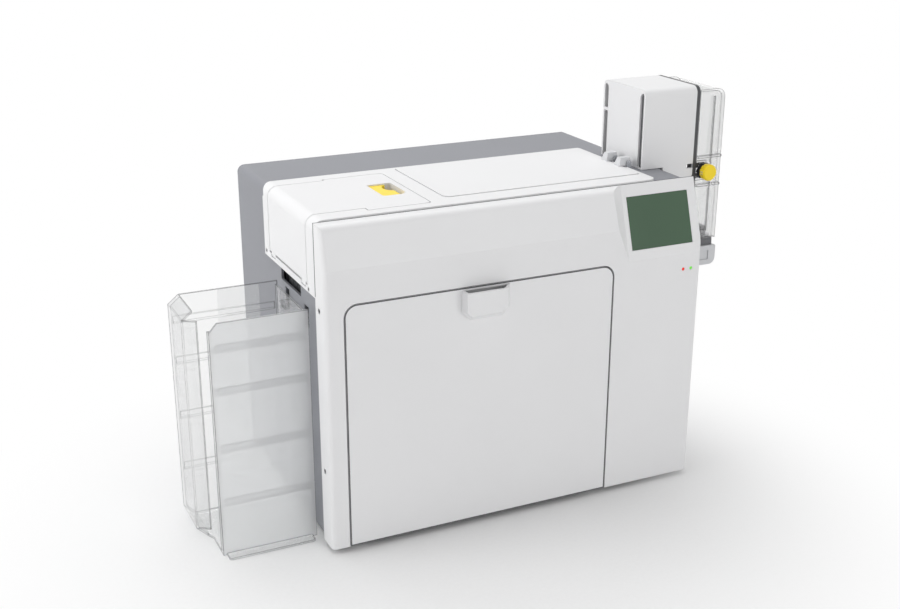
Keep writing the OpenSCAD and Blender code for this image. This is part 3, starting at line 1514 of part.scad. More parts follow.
module cooling_fan() {
    s = fan_side / 2;
    y0 = body_d - 2.5 - air - 15;
    color("dimgray") difference() {
        along_y(y0, y0 + 15) panel([fan_x - s, fan_z - s], [fan_x + s, fan_z + s], [4, 4, 4, 4]);
        bar_y(fan_x, fan_z, s - 1.6, y0 - 1, y0 + 16);
        for (i = [-1, 1], j = [-1, 1]) bar_y(fan_x + i * (s - 5), fan_z + j * (s - 5), 1.9, y0 - 1, y0 + 16);
    }
    // Spokes and motor seat
    color("dimgray") {
        difference() {
            bar_y(fan_x, fan_z, 12, y0, y0 + 2);
            bar_y(fan_x, fan_z, 1.5 + run, y0 - 1, y0 + 3);
        }
        for (a = [30, 150, 270]) translate([fan_x, 0, fan_z]) rotate([0, a, 0]) block([11, y0, -1.5], [s - 1, y0 + 2, 1.5]);
    }
}

module fan_rotor() {
    s = fan_side / 2 - 3;
    y0 = body_d - 2.5 - air - 12.4;
    color("dimgray") {
        bar_y(fan_x, fan_z, 11, y0, y0 + 10.5);
        bar_y(fan_x, fan_z, 1.5, y0 - 2.6, y0 + e);
        for (i = [0:6]) translate([fan_x, y0 + 5.2, fan_z]) rotate([0, i * 360 / 7, 0]) rotate([36, 0, 0])
            block([10, -0.7, -7], [s, 0.7, 7]);
    }
}

// Puts the middle of the footprint at the origin
module place() {
    translate([-mid_x, -mid_y, 0]) children();
}

place() outer_housing();
place() rear_panel();
place() base_plate();
place() feet();
place() front_cover();
place() front_door();
place() door_handle();
place() door_pins();
place() screen();
place() display_module();
place() light_red();
place() light_green();
place() cover_screws();
place() top_cover();
place() side_flap();
place() flap_latch();
place() top_lid();
place() cover_pins();
place() lid_hinges();
place() feeder_base();
place() feeder_tower();
place() pin_keeper();
place() card_well();
place() card_tray();
place() card_weight();
place() pick_roller();
place() feeder_door();
place() feeder_pin();
place() knob();
place() knob_collar();
place() output_hopper();
place() front_frame();
place() rear_frame();
place() card_guide();
place() feed_roller_in();
place() feed_roller_mid();
place() feed_roller_out();
place() cleaning_roller();
place() drive_belt();
place() motor_pulley();
place() drive_motor();
place() flipper();
place() hot_roller();
place() pressure_roller();
place() platen_roller();
place() print_head();
place() ribbon_cassette();
place() ribbon_supply();
place() ribbon_takeup();
place() ribbon_web();
place() film_cassette();
place() film_supply();
place() film_takeup();
place() film_web();
place() main_board();
place() power_supply();
place() mains_inlet();
place() power_switch();
place() cooling_fan();
place() fan_rotor();
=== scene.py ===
import math
import bmesh
import bpy
from mathutils import Matrix, Vector


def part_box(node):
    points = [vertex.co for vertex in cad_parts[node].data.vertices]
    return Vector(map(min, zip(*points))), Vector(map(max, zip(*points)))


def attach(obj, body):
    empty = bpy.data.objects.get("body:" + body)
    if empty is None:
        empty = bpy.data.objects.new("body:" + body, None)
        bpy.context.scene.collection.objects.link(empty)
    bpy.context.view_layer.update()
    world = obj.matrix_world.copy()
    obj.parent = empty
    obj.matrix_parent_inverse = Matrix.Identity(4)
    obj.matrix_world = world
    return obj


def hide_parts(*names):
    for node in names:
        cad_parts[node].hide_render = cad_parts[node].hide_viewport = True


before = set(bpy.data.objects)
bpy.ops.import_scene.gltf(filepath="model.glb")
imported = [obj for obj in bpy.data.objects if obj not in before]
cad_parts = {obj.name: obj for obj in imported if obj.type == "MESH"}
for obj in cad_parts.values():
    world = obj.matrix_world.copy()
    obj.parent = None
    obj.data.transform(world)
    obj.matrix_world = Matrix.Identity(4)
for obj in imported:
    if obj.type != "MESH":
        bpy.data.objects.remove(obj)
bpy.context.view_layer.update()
scene = bpy.context.scene
scene.view_settings.view_transform = "Standard"


# ---- Outer housing and rear panel ----
# The shell behind the front cover is one ABS moulding in a mid grey, and the rear panel is screwed into it.
# The mould is spark-eroded, so the plastic has a fine even grain and a soft sheen without mirror images.

def linear(code):
    """Turns an sRGB hex value to a linear colour with full opacity."""
    parts = [int(code[i:i + 2], 16) / 255 for i in (0, 2, 4)]
    return [c / 12.92 if c <= 0.04045 else ((c + 0.055) / 1.055) ** 2.4 for c in parts] + [1.0]


def add_node(tree, kind, settings, links):
    """Adds a node, with its settings and links. Inputs that share a name go by number."""
    made = tree.nodes.new(kind)
    for name, value in settings.items():
        if hasattr(made, str(name)):
            setattr(made, name, value)
    for name, value in settings.items():
        if not hasattr(made, str(name)):
            made.inputs[name].default_value = value
    for name, source in links.items():
        tree.links.new(source, made.inputs[name])
    return made


def blank_material(name):
    """Makes a material and gives it back with its node tree, which is empty."""
    made = bpy.data.materials.new(name)
    made.use_nodes = True
    made.node_tree.nodes.clear()
    return made, made.node_tree


def moulded_plastic(name, colour, shade, rough, grain_mm, depth_mm, edge_mm):
    """Moulded plastic: a faint drift of shade, a spark-eroded grain, and edges rubbed a little smooth."""
    made, tree = blank_material(name)
    place = add_node(tree, "ShaderNodeTexCoord", {}, {})
    drift = add_node(tree, "ShaderNodeTexNoise", {"Scale": 1000 / 90, "Detail": 2.0, "Roughness": 0.5},
                     {"Vector": place.outputs["Object"]})
    grain = add_node(tree, "ShaderNodeTexNoise", {"Scale": 1000 / grain_mm, "Detail": 3.0, "Roughness": 0.6},
                     {"Vector": place.outputs["Object"]})
    paint = add_node(tree, "ShaderNodeMix", {"data_type": "RGBA", "A": linear(shade), "B": linear(colour)},
                     {"Factor": drift.outputs["Fac"]})
    edge = add_node(tree, "ShaderNodeBevel", {"samples": 4, "Radius": edge_mm / 1000}, {})
    flat = add_node(tree, "ShaderNodeNewGeometry", {}, {})
    turn = add_node(tree, "ShaderNodeVectorMath", {"operation": "DOT_PRODUCT"},
                    {0: edge.outputs["Normal"], 1: flat.outputs["Normal"]})
    rubbed = add_node(tree, "ShaderNodeMapRange",
                      {"From Min": 1.0, "From Max": 0.8, "To Min": 0.0, "To Max": 0.06},
                      {"Value": turn.outputs["Value"]})
    satin = add_node(tree, "ShaderNodeMapRange",
                     {"From Min": 0.3, "From Max": 0.7, "To Min": rough - 0.04, "To Max": rough + 0.05},
                     {"Value": grain.outputs["Fac"]})
    sheen = add_node(tree, "ShaderNodeMath", {"operation": "SUBTRACT"},
                     {0: satin.outputs["Result"], 1: rubbed.outputs["Result"]})
    bump = add_node(tree, "ShaderNodeBump", {"Strength": 0.35, "Distance": depth_mm / 1000},
                    {"Height": grain.outputs["Fac"], "Normal": edge.outputs["Normal"]})
    body = add_node(tree, "ShaderNodeBsdfPrincipled", {"IOR": 1.54},
                    {"Base Color": paint.outputs["Result"], "Roughness": sheen.outputs["Value"],
                     "Normal": bump.outputs["Normal"]})
    add_node(tree, "ShaderNodeOutputMaterial", {}, {"Surface": body.outputs["BSDF"]})
    return made


def dress(material, *names):
    """Gives a material to every surface of the named CAD pieces."""
    for name in names:
        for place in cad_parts[name].material_slots:
            place.material = material


# ABS has an IOR of 1.54. A grain of 0.3 mm is drawn at 0.8 mm so that it still shows.
grey_abs = moulded_plastic("ABS moulded mid grey", "888A90", "83848A", 0.5, 0.8, 0.07, 0.8)
dress(grey_abs, "outer_housing", "rear_panel")


# ---- Base and feet ----
# The base is pressed from zinc-plated steel sheet, with four ground rubber feet on it.
# Zinc sheet shows broad faint crystals and fine rolling marks, so its reflections are broken and soft.

def sheet_metal(name, colour, rough, crystal_mm, marks_mm):
    """Plated or turned metal: crystals of slightly different roughness, and fine marks 25 mm long."""
    made, tree = blank_material(name)
    place = add_node(tree, "ShaderNodeTexCoord", {}, {})
    crystals = add_node(tree, "ShaderNodeTexVoronoi", {"Scale": 1000 / crystal_mm},
                        {"Vector": place.outputs["Object"]})
    spread = add_node(tree, "ShaderNodeMapRange", {"To Min": rough - 0.07, "To Max": rough + 0.08},
                      {"Value": crystals.outputs["Color"]})
    stretch = add_node(tree, "ShaderNodeMapping", {"Scale": (1000 / 25, 1000 / 25, 1000 / marks_mm)},
                       {"Vector": place.outputs["Object"]})
    marks = add_node(tree, "ShaderNodeTexNoise", {"Scale": 1.0, "Detail": 2.0},
                     {"Vector": stretch.outputs["Vector"]})
    bump = add_node(tree, "ShaderNodeBump", {"Strength": 0.12, "Distance": 0.00003},
                    {"Height": marks.outputs["Fac"]})
    body = add_node(tree, "ShaderNodeBsdfPrincipled", {"Metallic": 1.0, "Base Color": linear(colour)},
                    {"Roughness": spread.outputs["Result"], "Normal": bump.outputs["Normal"]})
    add_node(tree, "ShaderNodeOutputMaterial", {}, {"Surface": body.outputs["BSDF"]})
    return made


# Rolling marks lie about 0.1 mm apart, and they are drawn at 0.6 mm so that they show.
zinc_sheet = sheet_metal("Steel sheet zinc plated", "B9BCC0", 0.38, 9, 0.6)
dress(zinc_sheet, "base_plate")


def ground_rubber(name, colour, bloom, rough):
    """Ground rubber: matt, with a fine speckle of lighter bloom."""
    made, tree = blank_material(name)
    place = add_node(tree, "ShaderNodeTexCoord", {}, {})
    speck = add_node(tree, "ShaderNodeTexNoise", {"Scale": 1000 / 1.2, "Detail": 4.0, "Roughness": 0.7},
                     {"Vector": place.outputs["Object"]})
    paint = add_node(tree, "ShaderNodeMix", {"data_type": "RGBA", "A": linear(colour), "B": linear(bloom)},
                     {"Factor": speck.outputs["Fac"]})
    bump = add_node(tree, "ShaderNodeBump", {"Strength": 0.4, "Distance": 0.00005},
                    {"Height": speck.outputs["Fac"]})
    body = add_node(tree, "ShaderNodeBsdfPrincipled", {"IOR": 1.52, "Roughness": rough},
                    {"Base Color": paint.outputs["Result"], "Normal": bump.outputs["Normal"]})
    add_node(tree, "ShaderNodeOutputMaterial", {}, {"Surface": body.outputs["BSDF"]})
    return made


# Ground rubber has a grit of about 0.1 mm, drawn at 1.2 mm so that it shows.
black_rubber = ground_rubber("Rubber ground black", "1C1D1F", "34363A", 0.72)
dress(black_rubber, "feet")


# ---- Screws ----
# The covers, the rear panel and the fan are held by cross-recess screws with a black oxide finish.
# Oxide is a thin dark skin over steel, so a head looks nearly black with a dull metallic edge.

oxide_steel = sheet_metal("Steel black oxide", "3A3C40", 0.36, 4, 0.5)
# Places are in millimetres from the front cover's lower left corner, and the frame's origin lies
# this far to the right of that corner and behind it.
CORNER_RIGHT = 174.85
CORNER_BACK = 125.4


def at(x, y, z):
    """A point in metres, from millimetres to the right of, behind and above that corner."""
    return Vector((x - CORNER_RIGHT, y - CORNER_BACK, z)) / 1000


def to_right(x):
    """Millimetres to the right of the front cover's left side, from a place along X in metres."""
    return x * 1000 + CORNER_RIGHT


def turned(rings, steps):
    """A closed bmesh turned round Z from (radius, height) pairs, with a flat face at either end."""
    made = bmesh.new()
    loops = []
    for radius, height in rings:
        turns = [i * math.tau / steps for i in range(steps)]
        loops.append([made.verts.new((radius * math.cos(a), radius * math.sin(a), height)) for a in turns])
    for low, high in zip(loops, loops[1:]):
        for i in range(steps):
            k = (i + 1) % steps
            made.faces.new((low[i], low[k], high[k], high[i]))
    made.faces.new(loops[0][::-1])
    made.faces.new(loops[-1])
    return made


def carved(solid, tool):
    """The mesh of one bmesh with another cut out of it. Both are used up."""
    things = []
    for shape in (solid, tool):
        mesh = bpy.data.meshes.new("carving")
        shape.to_mesh(mesh)
        shape.free()
        thing = bpy.data.objects.new("carving", mesh)
        scene.collection.objects.link(thing)
        things.append(thing)
    cut = things[0].modifiers.new("cut", "BOOLEAN")
    cut.object = things[1]
    cut.solver = "EXACT"
    bpy.context.view_layer.update()
    made = bpy.data.meshes.new_from_object(things[0].evaluated_get(bpy.context.evaluated_depsgraph_get()))
    for thing in things:
        mesh = thing.data
        bpy.data.objects.remove(thing)
        bpy.data.meshes.remove(mesh)
    return made


HEAD_SIDES = 32


def cross_screw(radius, height):
    """A pan head along Z with a cross recess in its top. It is cut in millimetres and then made metres."""
    head = turned([(radius, 0), (radius, height * 0.45), (radius * 0.93, height * 0.72),
                   (radius * 0.76, height * 0.9), (radius * 0.4, height)], HEAD_SIDES)
    for spin in (0, math.pi / 2):
        cross = bmesh.new()
        size = Matrix.Diagonal((radius * 1.15, radius * 0.26, height * 0.7, 1))
        raise_up = Matrix.Translation((0, 0, height * 0.9))
        bmesh.ops.create_cube(cross, size=1, matrix=raise_up @ Matrix.Rotation(spin, 4, "Z") @ size)
        mesh = carved(head, cross)
        head = bmesh.new()
        head.from_mesh(mesh)
        bpy.data.meshes.remove(mesh)
    whole = bpy.data.meshes.new("cross_screw")
    head.to_mesh(whole)
    head.free()
    whole.transform(Matrix.Scale(0.001, 4))
    return whole


def add_piece(name, shape, material, body):
    """A new piece made of a bmesh, which is used up. It rides on a CAD body."""
    mesh = bpy.data.meshes.new(name)
    shape.to_mesh(mesh)
    shape.free()
    mesh.materials.append(material)
    piece = bpy.data.objects.new(name, mesh)
    scene.collection.objects.link(piece)
    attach(piece, body)
    return piece


FIRST_ANGLE = 17
NEXT_ANGLE = 38


def screw_heads(name, radius, height, spots, facing):
    """One piece of equal screw heads that face one way, each driven to an angle of its own."""
    head = cross_screw(radius, height)
    face_out = Vector(facing).to_track_quat("Z", "Y").to_matrix().to_4x4()
    joined = bmesh.new()
    for i, spot in enumerate(spots):
        copy = head.copy()
        driven = Matrix.Rotation(math.radians(FIRST_ANGLE + NEXT_ANGLE * i), 4, "Z")
        copy.transform(Matrix.Translation(at(*spot)) @ face_out @ driven)
        joined.from_mesh(copy)
        bpy.data.meshes.remove(copy)
    return add_piece(name, joined, oxide_steel, "chassis")


# Two screws stand in the front cover's left side, and two smaller ones in the top cover's.
SIDE_SCREW_SEAT = 1.2
SIDE_SCREW_BACK = 14.6
side_screws = screw_heads("cover_screw_heads", 2.45, 0.75,
                          [(SIDE_SCREW_SEAT, SIDE_SCREW_BACK, z) for z in (78.8, 232)], (-1, 0, 0))
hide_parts("cover_screws")
dress(oxide_steel, "cover_screws")
TOP_SCREW_SEAT = 1.3
screw_heads("top_cover_screw_heads", 1.85, 0.8, [(TOP_SCREW_SEAT, 41, 243.8), (TOP_SCREW_SEAT, 161, 245.5)],
            (-1, 0, 0))

# Six screws run up the two edges of the rear panel, and four hold the fan by its corners.
PANEL_FACE = 260
PANEL_INSET = 8.5
PANEL_SCREWS_HIGH = (66, 186, 276)
panel_low, panel_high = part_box("rear_panel")
panel_sides = (to_right(panel_low.x) + PANEL_INSET, to_right(panel_high.x) - PANEL_INSET)
screw_heads("rear_panel_screws", 2.6, 1.3,
            [(x, PANEL_FACE, z) for z in PANEL_SCREWS_HIGH for x in panel_sides], (0, 1, 0))
FAN_RIGHT = 292
FAN_HIGH = 170
FAN_HOLES = 25
screw_heads("fan_screws", 2.3, 1.2, [(FAN_RIGHT + i * FAN_HOLES, PANEL_FACE, FAN_HIGH + k * FAN_HOLES)
                                     for i in (-1, 1) for k in (-1, 1)], (0, 1, 0))


# ---- Front cover, door and handle ----
# The front cover, its drop-down door and the handle are ABS mouldings in a cool white.
# The white covers are moulded finer than the housing, so their sheen is a little brighter.

white_abs = moulded_plastic("ABS moulded white", "E9E9EA", "E5E5E6", 0.44, 0.6, 0.05, 0.6)
dress(white_abs, "front_cover", "front_door", "door_handle")
# Turning leaves fine rings on the steel pins and shafts, so their highlights are bright but drawn out.
turned_steel = sheet_metal("Steel turned", "C8CACD", 0.24, 3, 0.4)
dress(turned_steel, "door_pins")
# Painted shade for the gaps between parts: a dark grey, duller than solid rubber, with a fine speckle.
gap_shade_dark = ground_rubber("Painted gap shade dark matt", "505154", "5E5F62", 0.8)
# A corner within this many metres of a face counts as lying on it.
TOUCH = 0.0001


def outline_round(points):
    """The outermost of a set of flat points, in order round them."""
    ordered = sorted(set(points))
    rows = []
    for run in (ordered, ordered[::-1]):
        row = []
        for point in run:
            while len(row) > 1 and ((row[-1][0] - row[-2][0]) * (point[1] - row[-2][1])
                                    - (row[-1][1] - row[-2][1]) * (point[0] - row[-2][0])) <= 0:
                row.pop()
            row.append(point)
        rows += row[:-1]
    return rows


def rim_at(name, reaches):
    """The outline, as (x, z) points, of a CAD piece's corners whose place along Y passes a test."""
    corners = [v.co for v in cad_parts[name].data.vertices if reaches(v.co.y)]
    return outline_round([(round(c.x, 5), round(c.z, 5)) for c in corners])


def shade_strip(name, path, closed, section, body):
    """A dark strip that paints shade along (x, z) points, with a section of (outwards, y) pairs, all in
    metres.
    """
    made = bmesh.new()
    bands = []
    last = len(path) - 1
    for i, (x, z) in enumerate(path):
        before = path[i - 1 if closed else max(i - 1, 0)]
        after = path[(i + 1) % len(path) if closed else min(i + 1, last)]
        first = Vector((x - before[0], z - before[1]))
        second = Vector((after[0] - x, after[1] - z))
        run = (first.normalized() + second.normalized()).normalized()
        mitre = 1 / max(run.dot((second if second.length else first).normalized()), 0.5)
        bands.append([made.verts.new((x - run.y * k * mitre, y, z + run.x * k * mitre)) for k, y in section])
    pairs = list(zip(bands, bands[1:])) + ([(bands[-1], bands[0])] if closed else [])
    for low, high in pairs:
        for i in range(len(section)):
            k = (i + 1) % len(section)
            made.faces.new((low[i], low[k], high[k], high[i]))
    if not closed:
        made.faces.new(bands[0][::-1])
        made.faces.new(bands[-1])
    bmesh.ops.recalc_face_normals(made, faces=made.faces[:])
    add_piece(name, made, gap_shade_dark, body)


# A narrow dark strip runs round the door's edge in its gap and paints the shade there. Its sizes are in
# metres.
DOOR_SHADE_WIDE = 0.0011
DOOR_SHADE_PROUD = 0.00005
door_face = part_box("front_door")[0].y
door_rim = rim_at("front_door", lambda y: y < door_face + TOUCH)
shade_strip("door_gap_shade", door_rim[::-1], True,
           ((0, door_face - DOOR_SHADE_PROUD), (-DOOR_SHADE_WIDE, door_face - DOOR_SHADE_PROUD),
            (-DOOR_SHADE_WIDE, door_face + DOOR_SHADE_PROUD), (0, door_face + DOOR_SHADE_PROUD)), "front_door")


# ---- Touch screen and lights ----
# The screen is a coated glass panel over a dark green resting display in a black tray.
# The two lights are tinted acrylic lenses over small lamps.

def coated_glass(name, colour, deep):
    """Coated display glass: a deep colour that drifts across the panel under a lightly smeared gloss."""
    made, tree = blank_material(name)
    place = add_node(tree, "ShaderNodeTexCoord", {}, {})
    drift = add_node(tree, "ShaderNodeTexNoise", {"Scale": 1000 / 60, "Detail": 1.0},
                     {"Vector": place.outputs["Object"]})
    paint = add_node(tree, "ShaderNodeMix", {"data_type": "RGBA", "A": linear(deep), "B": linear(colour)},
                     {"Factor": drift.outputs["Fac"]})
    smear = add_node(tree, "ShaderNodeTexNoise", {"Scale": 1000 / 14, "Detail": 3.0},
                     {"Vector": place.outputs["Object"]})
    touch = add_node(tree, "ShaderNodeMapRange", {"To Min": 0.1, "To Max": 0.18},
                     {"Value": smear.outputs["Fac"]})
    body = add_node(tree, "ShaderNodeBsdfPrincipled",
                    {"IOR": 1.5, "Coat Weight": 0.3, "Coat Roughness": 0.06},
                    {"Base Color": paint.outputs["Result"], "Roughness": touch.outputs["Result"]})
    add_node(tree, "ShaderNodeOutputMaterial", {}, {"Surface": body.outputs["BSDF"]})
    return made


def lamp_lens(name, colour, strength):
    """Tinted lens, faceted inside, that glows faintly from the lamp behind it and most in its middle."""
    made, tree = blank_material(name)
    rim = add_node(tree, "ShaderNodeLayerWeight", {"Blend": 0.4}, {})
    level = add_node(tree, "ShaderNodeMapRange", {"To Min": strength, "To Max": strength * 0.4},
                     {"Value": rim.outputs["Facing"]})
    place = add_node(tree, "ShaderNodeTexCoord", {}, {})
    facets = add_node(tree, "ShaderNodeTexVoronoi", {"Scale": 1000 / 1.1},
                      {"Vector": place.outputs["Object"]})
    bump = add_node(tree, "ShaderNodeBump", {"Strength": 0.3, "Distance": 0.0001},
                    {"Height": facets.outputs["Distance"]})
    body = add_node(tree, "ShaderNodeBsdfPrincipled",
                    {"IOR": 1.49, "Roughness": 0.2, "Base Color": linear(colour),
                     "Emission Color": linear(colour)},
                    {"Emission Strength": level.outputs["Result"], "Normal": bump.outputs["Normal"]})
    add_node(tree, "ShaderNodeOutputMaterial", {}, {"Surface": body.outputs["BSDF"]})
    return made


dress(coated_glass("Glass coated green display", "385A3D", "305036"), "screen")
dress(lamp_lens("Acrylic lens red", "D6281F", 0.5), "light_red")
dress(lamp_lens("Acrylic lens green", "74D24E", 0.5), "light_green")
# Black inner parts are moulded smoother than the covers and have a faint sheen along their edges.
black_abs = moulded_plastic("ABS moulded black", "26272A", "1F2023", 0.42, 0.5, 0.05, 0.4)
dress(black_abs, "display_module")


# ---- Top cover, flap and lid ----
# The top cover carries a flap over the turning unit on the left and a lid over the card path.
# Both are white ABS like the front; the flap's sliding latch is signal yellow ABS, and the pins are steel.

dress(white_abs, "top_cover", "side_flap", "top_lid")
light_grey_abs = moulded_plastic("ABS moulded light grey", "D3D4D6", "CDCED1", 0.42, 0.6, 0.05, 0.5)
dress(light_grey_abs, "lid_hinges")
dress(turned_steel, "cover_pins")
# What a hand is to find is moulded in yellow, smoother than the covers, so the colour stays deep.
yellow_abs = moulded_plastic("ABS moulded signal yellow", "FFE012", "FBD90E", 0.36, 0.5, 0.03, 0.5)
dress(yellow_abs, "flap_latch")


# ---- Painted joint shade ----
# A thin dark strip in the joint between the front cover and the top cover paints the shade there.
# It follows the front cover's rear edge up the left side and over the top.

# Its lower end, the height where it turns over the top, and its section, in metres.
STRIP_LOW = 0.2425
STRIP_TURN = 0.27
STRIP_WIDE = 0.0013
STRIP_PROUD = 0.00006
STRIP_DEEP = 0.00024
cover_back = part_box("front_cover")[1].y
rim = rim_at("front_cover", lambda y: y > cover_back - TOUCH)
left_side = min(x for x, z in rim if z >= STRIP_LOW)
over_top = sorted([p for p in rim if p[1] > STRIP_TURN], key=lambda p: math.atan2(p[1] - STRIP_TURN, -p[0]))
shade_strip("joint_gap_shade", [(left_side, STRIP_LOW)] + over_top, False,
           ((-STRIP_DEEP, cover_back - STRIP_WIDE), (STRIP_PROUD, cover_back - STRIP_WIDE),
            (STRIP_PROUD, cover_back), (-STRIP_DEEP, cover_back)), "chassis")


# ---- Feeder base and tower ----
# The tower that holds the blank cards is white ABS, and the base below it is light grey ABS.
# Shade is painted in a thin dark band along the tower's right edge, where the clear door closes on it.

def with_painted_shade_band(source, name, from_mm, colour):
    """A copy of a plastic that turns to another colour to the right of a place along X, to paint shade
    there.
    """
    made = source.copy()
    made.name = name
    tree = made.node_tree
    body = next(n for n in tree.nodes if n.type == "BSDF_PRINCIPLED")
    under = body.inputs["Base Color"].links[0].from_socket
    place = next(n for n in tree.nodes if n.type == "TEX_COORD")
    split = add_node(tree, "ShaderNodeSeparateXYZ", {}, {"Vector": place.outputs["Object"]})
    past = add_node(tree, "ShaderNodeMath", {"operation": "GREATER_THAN", 1: at(from_mm, 0, 0).x},
                    {0: split.outputs["X"]})
    paint = add_node(tree, "ShaderNodeMix", {"data_type": "RGBA", "B": linear(colour)},
                     {"Factor": past.outputs["Value"], "A": under})
    tree.links.new(paint.outputs["Result"], body.inputs["Base Color"])
    return made


# The painted shade ends this far short of the clear door, in millimetres.
DOOR_GAP = 0.4
TOWER_SHADE_WIDE = 1.3
tower_shade_from = to_right(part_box("feeder_door")[0].x) - DOOR_GAP - TOWER_SHADE_WIDE
# To the right of that place the white is painted dark grey, as the shade in the door's gap.
tower_abs_shaded = with_painted_shade_band(white_abs, "ABS moulded white with painted gap shade", tower_shade_from, "3C3D40")
dress(tower_abs_shaded, "feeder_tower")
dress(light_grey_abs, "feeder_base")
dress(oxide_steel, "pin_keeper")


# ---- Card channel, tray and weight ----
# The cards stand in a channel and on a tray of dark grey glass-filled nylon; the pick roller is rubber.
# Glass-filled nylon is duller than ABS and shows faint flow marks.

nylon_grey = moulded_plastic("Nylon glass-filled grey", "6C6D70", "626366", 0.5, 1.2, 0.08, 0.4)
dress(nylon_grey, "card_well", "card_tray")
dress(black_abs, "card_weight")
dress(black_rubber, "pick_roller")
# The middle line of every card lies this far back, and FAR is a place past everything.
CARD_BACK = 100.4
FAR = 500


def paint_faces(name, material, *boxes):
    """Gives a material to the faces of a CAD piece whose middles lie in any of the boxes, in millimetres."""
    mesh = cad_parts[name].data
    mesh.materials.append(material)
    index = len(mesh.materials) - 1
    spans = [(at(*low), at(*high)) for low, high in boxes]
    for face in mesh.polygons:
        if any(all(low[i] <= face.center[i] <= high[i] for i in range(3)) for low, high in spans):
            face.material_index = index


def ends_beyond(front, rear, last=FAR):
    """Two boxes: all that lies before one place, and all from a second place back to a last one."""
    return ((-FAR, -FAR, -FAR), (FAR, front, FAR)), ((-FAR, rear, -FAR), (FAR, last, FAR))


TYRE_FRONT = CARD_BACK - 20.02
TYRE_REAR = CARD_BACK + 16.02
paint_faces("pick_roller", turned_steel, *ends_beyond(TYRE_FRONT, TYRE_REAR))


# ---- Clear feeder door and output hopper ----
# Both are moulded from clear polycarbonate about 2 mm thick and polished, so their walls nearly vanish
# and their edges, folds and bands carry the light. Polycarbonate has an IOR of 1.585.

def clear_plastic(name, tint, veil, haze, see_through, rough):
    """Polished clear plastic: faintly hazy and wavy, with shade painted in thin dark lines along its edges.
    """
    made, tree = blank_material(name)
    place = add_node(tree, "ShaderNodeTexCoord", {}, {})
    flow = add_node(tree, "ShaderNodeTexNoise", {"Scale": 1000 / 35, "Detail": 1.0},
                    {"Vector": place.outputs["Object"]})
    edge = add_node(tree, "ShaderNodeBevel", {"samples": 6, "Radius": 0.0013}, {})
    flat = add_node(tree, "ShaderNodeNewGeometry", {}, {})
    turn = add_node(tree, "ShaderNodeVectorMath", {"operation": "DOT_PRODUCT"},
                    {0: edge.outputs["Normal"], 1: flat.outputs["Normal"]})
    edge_shade_share = add_node(tree, "ShaderNodeMapRange",
                      {"From Min": 0.99, "From Max": 0.88, "To Min": 0.0, "To Max": 0.94},
                      {"Value": turn.outputs["Value"]})
    bump = add_node(tree, "ShaderNodeBump", {"Strength": 0.1, "Distance": 0.0004},
                    {"Height": flow.outputs["Fac"], "Normal": edge.outputs["Normal"]})
    body = add_node(tree, "ShaderNodeBsdfPrincipled",
                    {"IOR": 1.585, "Roughness": rough, "Base Color": linear(tint),
                     "Transmission Weight": 1.0},
                    {"Normal": bump.outputs["Normal"]})
    straight = add_node(tree, "ShaderNodeBsdfTransparent", {"Color": linear(veil)}, {})
    clear = add_node(tree, "ShaderNodeMixShader", {"Fac": see_through},
                     {1: body.outputs["BSDF"], 2: straight.outputs["BSDF"]})
    milk = add_node(tree, "ShaderNodeBsdfDiffuse", {"Color": linear("F0F1F2")}, {})
    hazed = add_node(tree, "ShaderNodeMixShader", {"Fac": haze},
                     {1: clear.outputs["Shader"], 2: milk.outputs["BSDF"]})
    # Along the edges a dark grey is painted as shade.
    line = add_node(tree, "ShaderNodeBsdfPrincipled",
                    {"IOR": 1.585, "Roughness": 0.2, "Base Color": linear("333537")}, {})
    with_edge_shade = add_node(tree, "ShaderNodeMixShader", {},
                     {"Fac": edge_shade_share.outputs["Result"], 1: hazed.outputs["Shader"], 2: line.outputs["BSDF"]})
    ray = add_node(tree, "ShaderNodeLightPath", {}, {})
    shadow = add_node(tree, "ShaderNodeBsdfTransparent", {"Color": linear("DEDFDF")}, {})
    pick = add_node(tree, "ShaderNodeMixShader", {},
                    {"Fac": ray.outputs["Is Shadow Ray"], 1: with_edge_shade.outputs["Shader"],
                     2: shadow.outputs["BSDF"]})
    add_node(tree, "ShaderNodeOutputMaterial", {}, {"Surface": pick.outputs["Shader"]})
    return made


clear_pc = clear_plastic("Polycarbonate polished clear", "FBFCFC", "FBFBFB", 0.03, 0.78, 0.02)
dress(clear_pc, "feeder_door", "output_hopper")
hazy_pc = clear_plastic("Polycarbonate satin on one side", "FBFCFC", "F8F8F8", 0.42, 0.62, 0.05)
ribbed_pc = clear_plastic("Polycarbonate at the thicker ribs", "E9EAEB", "D2D3D4", 0.1, 0.55, 0.03)
# The hopper's front wall is left satin inside, and its ribs are thicker, so they show as darker bands.
WALL_OUTER = 40.1
WALL_INNER = 42.25
RIB_INNER = 48
paint_faces("output_hopper", hazy_pc, ((-200, WALL_OUTER, 0), (0, WALL_INNER, 226)))
paint_faces("output_hopper", ribbed_pc, ((-88, WALL_INNER + 0.05, 3), (-4, RIB_INNER, 222)))
dress(turned_steel, "feeder_pin")


# ---- Door knob ----
# The knob is signal yellow ABS pressed onto a turned steel plunger, which runs in a black ABS collar.
# A pull on the knob draws the plunger out of its keeper and frees the clear door.

dress(yellow_abs, "knob")
# Bare metal shows behind the grip, and on the few small faces at the grip's left edge.
KNOB_BACK = 63.55
KNOB_LEFT = 423.5
paint_faces("knob", turned_steel, ((-FAR, KNOB_BACK, -FAR), (FAR, FAR, FAR)),
            ((-FAR, -FAR, -FAR), (KNOB_LEFT, FAR, FAR)))
dress(black_abs, "knob_collar")


# ---- Frame plates and card guide ----
# Two zinc-plated plates carry every shaft between them, and tie bars hold them apart.
# A guide folded from the same sheet lies between them and carries the cards.

dress(zinc_sheet, "front_frame", "rear_frame", "card_guide")


# ---- Card path rollers, belt and motor ----
# Feed rollers are ground rubber on steel shafts with moulded pulleys, and the belt is ribbed neoprene.
# The cleaning roller is tacky silicone, which is smoother and shinier than rubber.

WAVES_PER_SCALE = 3.18


